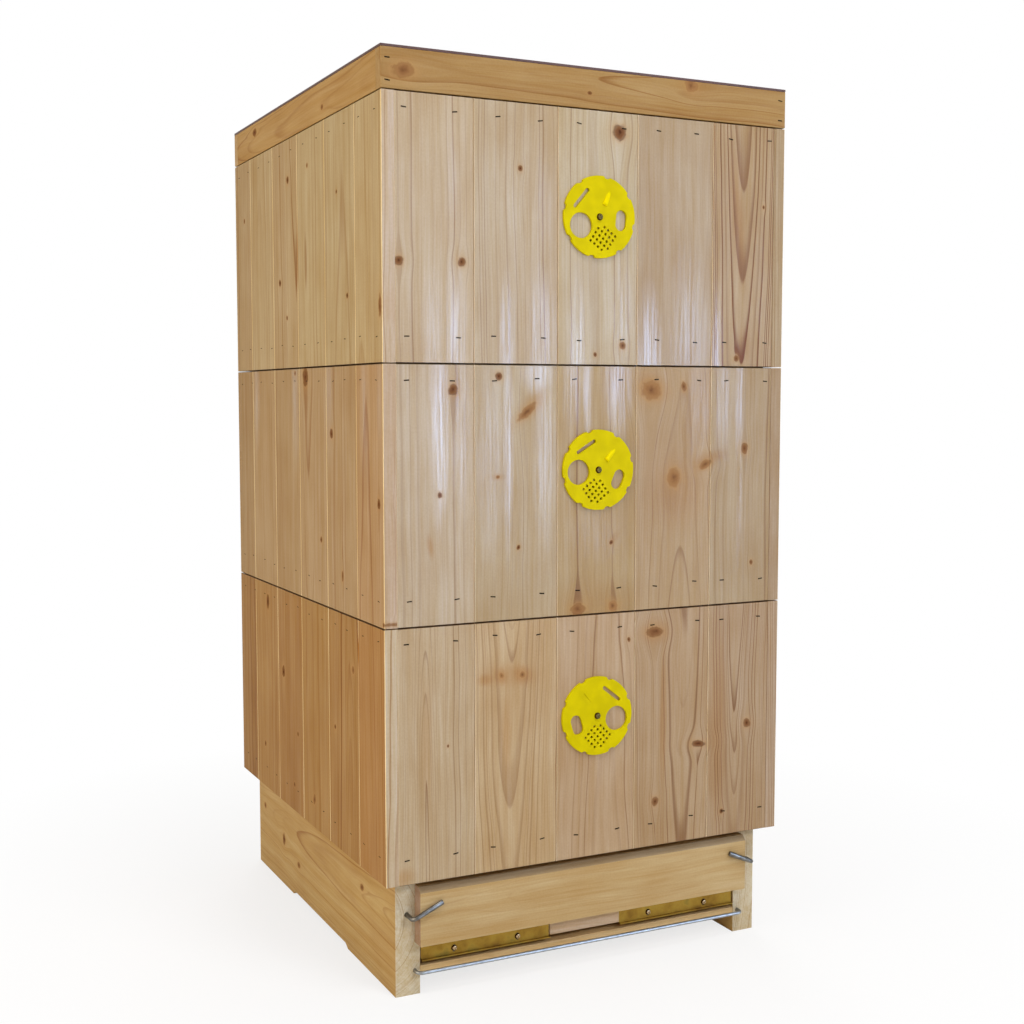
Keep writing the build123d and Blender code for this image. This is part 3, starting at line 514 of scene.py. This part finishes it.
# Zinc with a yellow passivation: dull gold that drifts to green and rust
yellowZinc, add, spot = newMaterial("yellowPassivatedZinc")
bath = add("TexNoise", {"Vector": spot["Object"], "Scale": 45.0, "Detail": 4.0, "Roughness": 0.6})
tone = add("ValToRGB", (bath,), stops=[(0.3, "734f1e"), (0.45, "8a6726"), (0.58, "97752d"), (0.72, "7c662b")])
scuff = add("TexNoise", {"Vector": spot["Object"], "Scale": 260.0, "Detail": 3.0})
dull = add("MapRange", {"Value": scuff, "To Min": 0.32, "To Max": 0.55})
add("OutputMaterial", (add("BsdfPrincipled", {"Base Color": tone, "Metallic": 1.0, "Roughness": dull}),))

# Drawn galvanised wire: grey zinc, duller where it has been handled
def wireMetal(name, dark, pale, dull, shiny):
    material, add, spot = newMaterial(name)
    spots = add("TexNoise", {"Vector": spot["Object"], "Scale": 160.0, "Detail": 4.0})
    tone = add("ValToRGB", (spots,), stops=[(0.3, dark), (0.7, pale)])
    wearAndPaintedLight = add("MapRange", {"Value": spots, "To Min": dull, "To Max": shiny})
    add("OutputMaterial", (add("BsdfPrincipled", {"Base Color": tone, "Metallic": 1.0, "Roughness": wearAndPaintedLight}),))
    return material


railWire = wireMetal("galvanisedWire", "8c8d8b", "a8a8a4", 0.5, 0.4)
latchWire = wireMetal("handledWire", "5a564f", "86827a", 0.46, 0.34)

# Oxide-blackened steel of the staples, with no shine left; its near-black is partly painted shade, standing in for the
# dents the staples sit in
darkSteelAndDentShade, add, spot = newMaterial("darkSteelAndDentShade")
spots = add("TexNoise", {"Vector": spot["Object"], "Scale": 700.0, "Detail": 3.0})
tone = add("ValToRGB", (spots,), stops=[(0.3, "15100b"), (0.7, "33291e")])
add("OutputMaterial", (add("BsdfPrincipled", {"Base Color": tone, "Roughness": 0.7, "Specular IOR Level": 0.03}),))

# Zinc-plated screws: the crown that faces the front is painted pale, a painted highlight, and the sloping rim of the
# head dark, painted shade, with a little noise
def screwMetal(name, shadedRim, crown, dull):
    material, add, spot = newMaterial(name)
    facing = add("VectorMath.DOT_PRODUCT", (spot["Normal"], (0, -1, 0)))
    spots = add("TexNoise", {"Vector": spot["Object"], "Scale": 900.0, "Detail": 3.0})
    # faces turned to the front lean to the pale crown colour as a painted highlight, and the sloping rim of the head to
    # the dark colour as painted shade
    wearAndPaintedLight = add("Math.MULTIPLY_ADD", (spots, 0.3, facing.outputs["Value"]))
    tone = add("ValToRGB", (wearAndPaintedLight,), stops=[(0.8, shadedRim), (1.0, crown)])
    add("OutputMaterial", (add("BsdfPrincipled", {"Base Color": tone, "Metallic": 1.0, "Roughness": dull}),))
    return material


discScrewZinc = screwMetal("zincScrewPaintedShade", "4a310c", "746334", 0.6)
gateScrewZinc = screwMetal("yellowZincScrew", "4d2b08", "c8a87a", 0.36)

# Coil-coated steel sheet: matt brown paint with a fine orange-peel
brownSheet, add, spot = newMaterial("brownCoatedSheet")
peel = add("TexNoise", {"Vector": spot["Object"], "Scale": 500.0, "Detail": 2.0})  # 2 mm peel
dust = add("TexNoise", {"Vector": spot["Object"], "Scale": 9.0, "Detail": 5.0})
tone = add("ValToRGB", (dust,), stops=[(0.35, "4b2f23"), (0.7, "5d3d2e")])
dull = add("MapRange", {"Value": dust, "To Min": 0.4, "To Max": 0.6})
skin = add("Bump", {"Strength": 0.2, "Distance": 0.0002, "Height": peel})
add("OutputMaterial", (add("BsdfPrincipled", {
    "Base Color": tone, "Roughness": dull, "Specular IOR Level": 0.35, "Normal": skin}),))

# Wood-fibre board: matted brown fibres, no gloss
fibreBoard, add, spot = newMaterial("woodFibreBoard")
mat = add("TexNoise", {"Vector": spot["Object"], "Scale": 900.0, "Detail": 5.0, "Distortion": 2.0})
tone = add("ValToRGB", (mat,), stops=[(0.3, "7d5f39"), (0.7, "b59462")])
skin = add("Bump", {"Strength": 0.6, "Distance": 0.0006, "Height": mat})
add("OutputMaterial", (add("BsdfPrincipled", {
    "Base Color": tone, "Roughness": 0.9, "Specular IOR Level": 0.15, "Normal": skin}),))

# Black polyethylene tube, extruded: soft sheen with faint lengthwise lines
sleevePlastic, add, spot = newMaterial("blackPolyethylene")
drawn = add("Mapping", {"Vector": spot["Object"], "Scale": (900, 25, 900)})
lines = add("TexNoise", {"Vector": drawn, "Scale": 1.0, "Detail": 2.0})
tone = add("ValToRGB", (lines,), stops=[(0.3, "1c1a18"), (0.7, "2c2926")])
add("OutputMaterial", (add("BsdfPrincipled", {"Base Color": tone, "Roughness": 0.48, "Specular IOR Level": 0.4}),))

# Pressed beeswax: honey yellow, rolled with 5.4 mm cells, which three crossed waves draw
waxCell = 5.4
waves = 1000 * 4 * pi / (sqrt(3) * waxCell)  # radians per m
beeswax, add, spot = newMaterial("pressedBeeswax")
cells = None
for turn in (90, 210, 330):
    way = (cos(radians(turn)) * waves, 0, sin(radians(turn)) * waves)
    wave = add("VectorMath.DOT_PRODUCT", (spot["Object"], way))
    wave = add("Math.COSINE", (wave.outputs["Value"],))
    cells = wave if cells is None else add("Math.ADD", (wave, cells))
press = add("MapRange", {"Value": cells, "From Min": -1.5, "From Max": 1.5})
tone = add("ValToRGB", (press,), stops=[(0.0, "e6bd5e"), (0.8, "c9952f")])
skin = add("Bump", {"Strength": 0.7, "Distance": 0.0008, "Height": press}, invert=True)
add("OutputMaterial", (add("BsdfPrincipled", {"Base Color": tone, "Roughness": 0.42, "Normal": skin}),))

cover(yellowZinc, "left_gate", "right_gate")
cover(brownSheet, "roof_sheet")
cover(fibreBoard, "roof_insulation", *[body + "_insulation" for body in bodyBase])
cover(sleevePlastic, *[body + "_flight_sleeve" for body in bodyBase])
cover(beeswax, *[body + "_foundation" for body in bodyBase])
print("metals, plastics and wax finished")


def wake(piece):  # the only selected object, and the active one
    bpy.ops.object.select_all(action="DESELECT")
    piece.select_set(True)
    bpy.context.view_layer.objects.active = piece


def choose(kind, test):  # in edit mode, selects the parts that pass the test
    bpy.ops.mesh.select_mode(type=kind)
    bpy.ops.mesh.select_all(action="DESELECT")
    shape = bmesh.from_edit_mesh(bpy.context.edit_object.data)
    for part in {"VERT": shape.verts, "EDGE": shape.edges, "FACE": shape.faces}[kind]:
        part.select_set(bool(test(part)))
    shape.select_flush_mode()
    bmesh.update_edit_mesh(bpy.context.edit_object.data)


def middleOf(part):
    return sum((v.co for v in part.verts), Vector()) / len(part.verts)


def settle(piece):  # place and turn go into the mesh
    wake(piece)
    bpy.ops.object.transform_apply(location=True, rotation=True, scale=True)


def work(piece, kind, **settings):
    modifier = piece.modifiers.new(kind, kind)
    for name, value in settings.items():
        setattr(modifier, name, value)
    wake(piece)
    bpy.ops.object.modifier_apply(modifier=modifier.name)


def carve(piece, cutter, operation="DIFFERENCE"):
    work(piece, "BOOLEAN", operation=operation, object=cutter, solver="EXACT")
    bpy.data.objects.remove(cutter)


def together(pieces, name):
    wake(pieces[0])
    for piece in pieces:
        piece.select_set(True)
    bpy.ops.object.join()
    bpy.context.object.name = name
    return bpy.context.object


def around(reach, angle):
    return Vector((reach * cos(radians(angle)), reach * sin(radians(angle)), 0))


def dress(piece, name, body, slot, material, *replaced, smooth=35):
    piece.name = piece.data.name = name
    piece.data.materials.clear()
    piece.data.materials.append(material)
    wake(piece)
    bpy.ops.object.shade_smooth_by_angle(angle=radians(smooth))
    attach(piece, body)
    if replaced:
        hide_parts(*replaced)


def editing(on):
    bpy.ops.object.mode_set(mode="EDIT" if on else "OBJECT")


def block(size, place=(0, 0, 0), turn=0):  # sides and middle in mm
    bpy.ops.mesh.primitive_cube_add(size=1)
    piece = bpy.context.object
    piece.scale, piece.location = [side * mm for side in size], [value * mm for value in place]
    piece.rotation_euler = (0, 0, radians(turn))
    settle(piece)
    return piece


def rod(radius, length, sides, place=(0, 0, 0)):  # radius and length in mm, middle in m
    bpy.ops.mesh.primitive_cylinder_add(vertices=sides, radius=radius * mm, depth=length * mm, location=place)
    settle(bpy.context.object)
    return bpy.context.object


def swing(piece, reach, angle):  # out from the middle, along an angle
    piece.location, piece.rotation_euler = around(reach, angle) * mm, (0, 0, radians(angle))
    settle(piece)
    return piece


# Entrance disc: a moulded plate that turns on its screw. Angles run from the vent grid, which hangs down.
entranceDisc = {
    "radius": 43.5, "thick": 3.0, "edgeRound": 0.5, "screwHole": 2.4, "cutter": 20, "slotSides": 40, "sides": 128,
    "notches": 8, "notchDepth": 2.2, "notchFloor": 5.0, "notchMouth": 9.0, "notchRound": 1.3, "sharp": 50,
    "creased": 20,
    "roundHole": {"radius": 13.5, "reach": 24.5, "angle": -77},
    "oblong": {"length": 22.0, "width": 13.0, "reach": 26.5, "angle": 74},
    "queenSlot": {"length": 27.0, "width": 4.2, "reach": 29.3, "angle": -141},
    "tab": {"width": 5.5, "inner": 14.0, "outer": 31.0, "height": 3.0, "hollow": 1.2, "angle": 145, "round": 2.0},
    "vents": {"rows": 5, "pitch": 5.4, "radius": 1.5, "reach": 22.9},
    "turn": {"lower": 1.5, "middle": -8.0, "upper": 10.6}, "flipped": ("lower",), "across": 2.25, "height": 157,
    "face": -270}


def slotCutter(slot, side):
    cutter = rod(slot["width"] / 2, entranceDisc["cutter"], entranceDisc["slotSides"])
    editing(True)
    for way in (-1, 1):
        choose("VERT", lambda v: v.co.y * way > 0.01 * mm)
        bpy.ops.transform.translate(value=(0, way * (slot["length"] - slot["width"]) / 2 * mm, 0))
    editing(False)
    return swing(cutter, slot["reach"], side * slot["angle"] - 90)


def roundCutter(radius, place, sides):
    return rod(radius, entranceDisc["cutter"], sides, place * mm)


def makeDisc(flipped):
    d, side = entranceDisc, -1 if flipped else 1
    disc = rod(d["radius"], d["thick"], d["sides"], (0, 0, d["thick"] / 2 * mm))
    bites = []
    for number in range(d["notches"]):
        bite = block((2 * d["notchDepth"], d["notchFloor"], d["cutter"]))
        editing(True)
        choose("VERT", lambda v: v.co.x > 0)
        bpy.ops.transform.resize(value=(1, d["notchMouth"] / d["notchFloor"], 1))
        editing(False)
        bites.append(swing(bite, d["radius"], (number + 0.5) * 360 / d["notches"] - 90))
    carve(disc, together(bites, "bites"))
    wake(disc)
    editing(True)  # round the shoulders and floors of the notches
    choose("EDGE", lambda e: abs(e.verts[0].co.z - e.verts[1].co.z) > 2 * mm and len(e.link_faces) == 2
           and e.calc_face_angle(0) > radians(d["creased"]))
    bpy.ops.mesh.bevel(offset=d["notchRound"] * mm, segments=4, affect="EDGES")
    editing(False)

    r, v = d["roundHole"], d["vents"]
    holes = [slotCutter(d[slot], side) for slot in ("oblong", "queenSlot")]
    rounds = [(r["radius"], around(r["reach"], side * r["angle"] - 90), 56), (d["screwHole"], Vector(), 24)]
    carve(disc, together(holes + [roundCutter(*hole) for hole in rounds], "holes"))

    t = d["tab"]  # a grip that runs out towards the rim, or its hollow on the other face
    low, tall, middle = d["thick"] * mm, t["hollow"] if flipped else t["height"], (t["inner"] + t["outer"]) / 2
    tab = block((t["outer"] - t["inner"], t["width"], 2 * tall), (middle, 0, d["thick"]))
    editing(True)
    if flipped:
        choose("VERT", lambda w: w.co.z < low and w.co.x < middle * mm)
        bpy.ops.transform.translate(value=(0, 0, tall * 0.99 * mm))
    else:
        choose("VERT", lambda w: w.co.z > low and w.co.x > middle * mm)
        bpy.ops.transform.translate(value=(0, 0, -tall * 0.99 * mm))
        choose("EDGE", lambda e: middleOf(e).z > low + 0.5 * mm)
        bpy.ops.mesh.bevel(offset=t["round"] * mm, segments=4, affect="EDGES")
    editing(False)
    tab.rotation_euler = (0, 0, radians(side * t["angle"] - 90))
    settle(tab)
    carve(disc, tab, "DIFFERENCE" if flipped else "UNION")
    work(disc, "BEVEL", width=d["edgeRound"] * mm, segments=2, limit_method="ANGLE", angle_limit=radians(d["sharp"]))
    vents = []  # drilled last, with sharp edges
    half = (v["rows"] - 1) / 2
    for row in range(v["rows"]):
        for column in range(v["rows"]):
            if row == column and row in (0, v["rows"] - 1):
                continue
            along, beside = (column - half) * v["pitch"], (row - half) * v["pitch"]
            place = Vector(((along - beside) / sqrt(2), -v["reach"] - (along + beside) / sqrt(2), 0))
            vents.append(roundCutter(v["radius"], place, 12))
    carve(disc, together(vents, "vents"))
    return disc


for body, base in bodyBase.items():
    d = entranceDisc
    disc = makeDisc(body in d["flipped"])
    disc.rotation_euler = (radians(90), -radians(d["turn"][body]), 0)
    disc.location = Vector((d["across"], d["face"], base + d["height"])) * mm
    settle(disc)
    dress(disc, body + "EntranceDisc", body + "_disc", "yellow_plastic", discPlastic, body + "_entrance_disc",
          smooth=9.5)
print("entrance discs moulded")

# Pan-head screws with a cross recess: seat above the face, head radius and height, shank radius and length below
discScrew = {"seat": 3.15, "head": 3.8, "tall": 2.2, "shank": 2.0, "deep": 12.0, "recess": 2.3}
gateScrew = {"seat": 1.35, "head": 3.3, "tall": 2.0, "shank": 1.5, "deep": 16.0, "recess": 2.1,
             "places": [(x, -248, 42.3) for x in (-159.75, -83.75, 83.75, 159.75)]}
screwForm = {"crown": 0.74, "round": 0.7, "point": 0.3, "armWide": 0.8, "armDeep": 2.2, "armTurn": 25}


def makeScrew(w, place):
    f = screwForm
    screw = rod(w["head"], w["tall"], 32, (0, 0, (w["seat"] + w["tall"] / 2) * mm))
    editing(True)
    choose("FACE", lambda face: face.normal.z > 0.9)
    bpy.ops.transform.resize(value=(f["crown"], f["crown"], 1))
    bpy.ops.mesh.bevel(offset=f["round"] * mm, segments=3, affect="EDGES")
    choose("FACE", lambda face: face.normal.z < -0.9)
    bpy.ops.mesh.inset(thickness=(w["head"] - w["shank"]) * mm)
    bpy.ops.mesh.extrude_region_move(TRANSFORM_OT_translate={"value": (0, 0, -(w["seat"] + w["deep"]) * mm)})
    bpy.ops.transform.resize(value=(f["point"], f["point"], 1))
    editing(False)
    top = (0, 0, w["seat"] + w["tall"])
    arms = [block((2 * w["recess"], f["armWide"], f["armDeep"]), top, turn + f["armTurn"]) for turn in (0, 90)]
    for arm in arms:
        carve(screw, arm)
    screw.rotation_euler = (radians(90), 0, 0)
    screw.location = Vector(place) * mm
    settle(screw)
    return screw


for body, base in bodyBase.items():
    screw = makeScrew(discScrew, (entranceDisc["across"], entranceDisc["face"], base + entranceDisc["height"]))
    dress(screw, body + "DiscScrew", body + "_body", "dark_screw", discScrewZinc, body + "_disc_screw")
gateScrews = together([makeScrew(gateScrew, place) for place in gateScrew["places"]], "gateScrews")
dress(gateScrews, "gateScrews", "stand", "yellow_zinc", gateScrewZinc, "gate_screws")
print("screws turned")

# Bent wire, bends on the wire's middle line, mm.
# The latches stand out of the runners and lie across the ends of the closing board.
latch = {"across": 215, "height": 88, "stub": -226, "front": -269.9, "arm": 37, "rise": 24, "bend": 6, "thick": 4.8,
         "endRound": 0.9, "tip": (1.25, 0.85, 1.25)}
hangingRail = {"across": 206, "height": 26, "leg": -231, "front": -261, "bend": 6, "thick": 4.0, "endRound": 0.9}


def bendWire(w, points):
    points = [Vector(p) * mm for p in points]
    bend = w["bend"] * mm
    ways = [(b - a).normalized() for a, b in zip(points, points[1:])]
    bpy.ops.mesh.primitive_circle_add(vertices=20, radius=w["thick"] / 2 * mm, fill_type="NGON", location=points[0],
                                      rotation=ways[0].to_track_quat("Z", "Y").to_euler())
    wire = bpy.context.object
    settle(wire)
    editing(True)
    bpy.ops.mesh.select_all(action="SELECT")
    at = points[0]
    for number, way in enumerate(ways):
        last = number == len(ways) - 1
        run = (points[number + 1] - at).length - (0 if last else bend)
        bpy.ops.mesh.extrude_region_move(TRANSFORM_OT_translate={"value": way * run})
        at = at + way * run
        if not last:  # all the bends are square
            nextWay = ways[number + 1]
            bpy.ops.mesh.spin(steps=10, angle=-pi / 2, center=at + nextWay * bend, axis=way.cross(nextWay))
            at = at + (way + nextWay) * bend
    if "tip" in w:  # hammered flat towards the end
        bpy.ops.transform.resize(value=w["tip"], center_override=at)
    choose("FACE", lambda f: len(f.verts) > 4)
    bpy.ops.mesh.bevel(offset=w["endRound"] * mm, segments=3, affect="EDGES")
    bpy.ops.mesh.select_all(action="SELECT")
    bpy.ops.mesh.normals_make_consistent(inside=False)
    editing(False)
    return wire


for side, way in (("left", -1), ("right", 1)):
    w = latch
    across, height, front = way * w["across"], w["height"], w["front"]
    tip = way * (w["across"] - w["arm"] * cos(radians(w["rise"]))), front, height + w["arm"] * sin(radians(w["rise"]))
    wire = bendWire(w, [(across, w["stub"], height), (across, front, height), tip])
    dress(wire, side + "Latch", side + "_latch", "galvanised_wire", latchWire, side + "_latch")
w = hangingRail
ends = [(-w["across"], w["leg"]), (-w["across"], w["front"]), (w["across"], w["front"]), (w["across"], w["leg"])]
dress(bendWire(w, [(x, y, w["height"]) for x, y in ends]), "hangingRail", "stand", "galvanised_wire", railWire,
      "hanging_rail")
print("wire bent")

# Staples: crown across the grain, both ends bent into the wood
staple = {"crown": 5.0, "drop": 0.7, "ends": 0.7, "wide": 1.2, "proud": 0.4, "round": 0.2, "belowTop": 15.4,
          "aboveFoot": 27.0, "height": 268.8, "skew": 9, "stray": (4, 1.5),
          "across": (-219.5, -165.5, -119.5, -67.5, -24.5, 29.5, 75.5, 129.5, 168.5, 220.5),
          "along": [-250 + 45.5 * number for number in range(12)], "roof": (238, (945, 967))}
# face of each wall from the middle and its turn; only the front ones stand proud, the others are driven flush
stapleWalls = {"front": (270, 0), "right": (244.64, 90), "rear": (269.64, 180), "left": (244.64, -90)}
stapleDice = random.Random(4)


def makeStaple():
    s = staple
    one = block((s["crown"], s["wide"], 2 * s["proud"]))
    editing(True)
    for way in (-1, 1):
        choose("FACE", lambda f: f.normal.x * way > 0.9)
        bpy.ops.mesh.extrude_region_move(
            TRANSFORM_OT_translate={"value": (way * s["ends"] * mm, 0, -s["drop"] * mm)})
    choose("EDGE", lambda e: middleOf(e).z > s["proud"] / 2 * mm and abs(middleOf(e).y) > s["wide"] / 6 * mm)
    bpy.ops.mesh.bevel(offset=s["round"] * mm, segments=1, affect="EDGES")
    editing(False)
    return one


def drive(places):  # (across the wall, height, wall), mm
    driven = []
    for across, height, wall in places:
        copy = oneStaple.copy()
        copy.data = oneStaple.data.copy()
        bpy.context.collection.objects.link(copy)
        out, turn = stapleWalls[wall]
        copy.rotation_euler = (radians(90), radians(stapleDice.uniform(-staple["skew"], staple["skew"])), 0)
        settle(copy)
        copy.rotation_euler = (0, 0, radians(turn))
        copy.location = (around(across, turn) + around(out, turn - 90) + Vector((0, 0, height))) * mm
        settle(copy)
        driven.append(copy)
    return driven


oneStaple = makeStaple()
strayAcross, strayUp = staple["stray"]
for body, base in bodyBase.items():
    places = []
    for z in (base + staple["aboveFoot"], base + staple["height"] - staple["belowTop"]):
        for wall in stapleWalls:
            for across in staple["across"] if wall in ("front", "rear") else staple["along"]:
                places.append((across + stapleDice.uniform(-strayAcross, strayAcross),
                               z + stapleDice.uniform(-strayUp, strayUp), wall))
    dress(together(drive(places), body + "Staples"), body + "Staples", body + "_body", "dark_screw", darkSteelAndDentShade)
across, heights = staple["roof"]
corners = [(way * across, z, wall) for wall in ("front", "rear") for way in (-1, 1) for z in heights]
dress(together(drive(corners), "roofStaples"), "roofStaples", "roof", "dark_screw", darkSteelAndDentShade)
bpy.data.objects.remove(oneStaple)
print("staples driven")

# Soft arrises on the sawn timber; the CAD meshes stay as they are
arris = {"width": 0.8, "weld": 0.02, "sharp": 40, "nodes": (
    "roof_front_rail", "roof_rear_rail", "roof_left_rail", "roof_right_rail", "left_runner", "right_runner",
    "closing_board", "gate_board", "entrance_sill", "stand_front_rail", "stand_rear_wall")}
for name in arris["nodes"]:
    weld = nodes[name].modifiers.new("weld", "WELD")
    weld.merge_threshold = arris["weld"] * mm
    ease = nodes[name].modifiers.new("arris", "BEVEL")
    ease.width, ease.segments = arris["width"] * mm, 2
    ease.limit_method, ease.angle_limit = "ANGLE", radians(arris["sharp"])
print("arrises eased")

# Floor, soft light and the photograph's camera
studio = {"floor": "f4f3f1", "ambient": 0.25, "size": 40, "shade": 0.76, "shadeFrom": 0.3, "shadeTo": 0.9}
camera = {"place": (-0.759, -1.614, 0.631), "azimuth": 26.10, "down": 4.56, "lens": 50.06}
lamps = {  # place, aim, size across and up (m), power (W), colour
    "keyFront": ((0.5, -2.4, 1.5), (0, -0.27, 0.55), (0.95, 0.55), 22, "f4f6ff"),  # lights, without a reflection
    "windowGlare": ((1.07, -2.29, 0.7), (-0.03, -0.27, 0.66), (1.3, 1.2), 58, "b2cfff"),  # shows in reflections only
    "fillLeft": ((-2.6, -0.5, 1.0), (-0.245, 0, 0.5), (1.6, 1.6), 36, "fff3e2"),
    "skyFront": ((0.2, -1.5, 2.9), (0, -0.2, 0.5), (0.9, 0.7), 29, "ffffff"),
    "top": ((0.2, 0.3, 2.9), (0, 0, 0.5), (1.6, 1.6), 14, "ffffff"),
    "rear": ((0.8, 2.6, 1.3), (0, 0.2, 0.5), (1.6, 1.6), 36, "ffffff"),
}


def seenDirectly(add):  # 1 for what camera, mirrors and glass show, 0 for what only lights
    path = add("LightPath").outputs
    seen = add("Math.MAXIMUM", (path["Is Camera Ray"], path["Is Glossy Ray"]))
    return path, add("Math.MAXIMUM", (seen, path["Is Transmission Ray"]))


bpy.ops.mesh.primitive_plane_add(size=studio["size"], location=(0, 0, 0))
floor = bpy.context.object
floor.name = "paleFloor"
material, add, spot = newMaterial("paleFloorPaint")
path, seen = seenDirectly(add)
paint = add("BsdfDiffuse", {"Color": studio["floor"]})
paper = add("Emission", {"Color": (1, 1, 1, 1), "Strength": 1.0})
reach = add("VectorMath.LENGTH", (spot["Object"],)).outputs["Value"]
white = add("MapRange", {"Value": reach, "From Min": studio["shadeFrom"], "From Max": studio["shadeTo"],
                         "To Min": studio["shade"], "To Max": 1.0})
seen = add("Math.MULTIPLY", (seen, white))  # the shadow stays on the floor round the hive
add("OutputMaterial", (add("MixShader", (seen, paint, paper)),))
floor.data.materials.append(material)

world = bpy.data.worlds.new("studioAir")
bpy.context.scene.world = world
world.use_nodes = True
world.node_tree.nodes.clear()
add = partial(addNode, world.node_tree)
path, seen = seenDirectly(add)
air = add("Background", {"Color": (1, 1, 1, 1), "Strength": studio["ambient"]})
heading = add("SeparateXYZ", (add("TexCoord").outputs["Generated"],)).outputs["Y"]
# reflections show a room that is darker in front of the hive
room = add("MapRange", {"Value": heading, "From Min": -0.5, "From Max": 0.7, "To Min": 0.3, "To Max": 0.8})
bright = add("Mix", {0: path["Is Camera Ray"], 2: room, 3: 1.0})
backdrop = add("Background", {"Color": (1, 1, 1, 1), "Strength": bright})
add("OutputWorld", (add("MixShader", (seen, air, backdrop)),))

for name, (place, aim, size, power, tone) in lamps.items():
    bpy.ops.object.light_add(type="AREA", location=place)
    lamp = bpy.context.object
    lamp.name = name
    lamp.rotation_euler = (Vector(aim) - Vector(place)).to_track_quat("-Z", "Y").to_euler()
    lamp.data.shape = "RECTANGLE"
    lamp.data.size, lamp.data.size_y = size
    lamp.data.energy = power
    lamp.data.color = linearColour(tone)[:3]
    if name in ("keyFront", "windowGlare"):
        lamp.visible_diffuse, lamp.visible_glossy = name == "keyFront", name == "windowGlare"

bpy.ops.object.camera_add(location=camera["place"])
eye = bpy.context.object
eye.name = "photoCamera"
across, down = radians(camera["azimuth"]), radians(camera["down"])
forward = Vector((sin(across) * cos(down), cos(across) * cos(down), -sin(down)))
eye.rotation_euler = forward.to_track_quat("-Z", "Y").to_euler()
eye.data.lens = camera["lens"]
eye.data.sensor_width = 36
bpy.context.scene.camera = eye
bpy.context.scene.view_settings.view_transform = "Standard"
print("studio set")
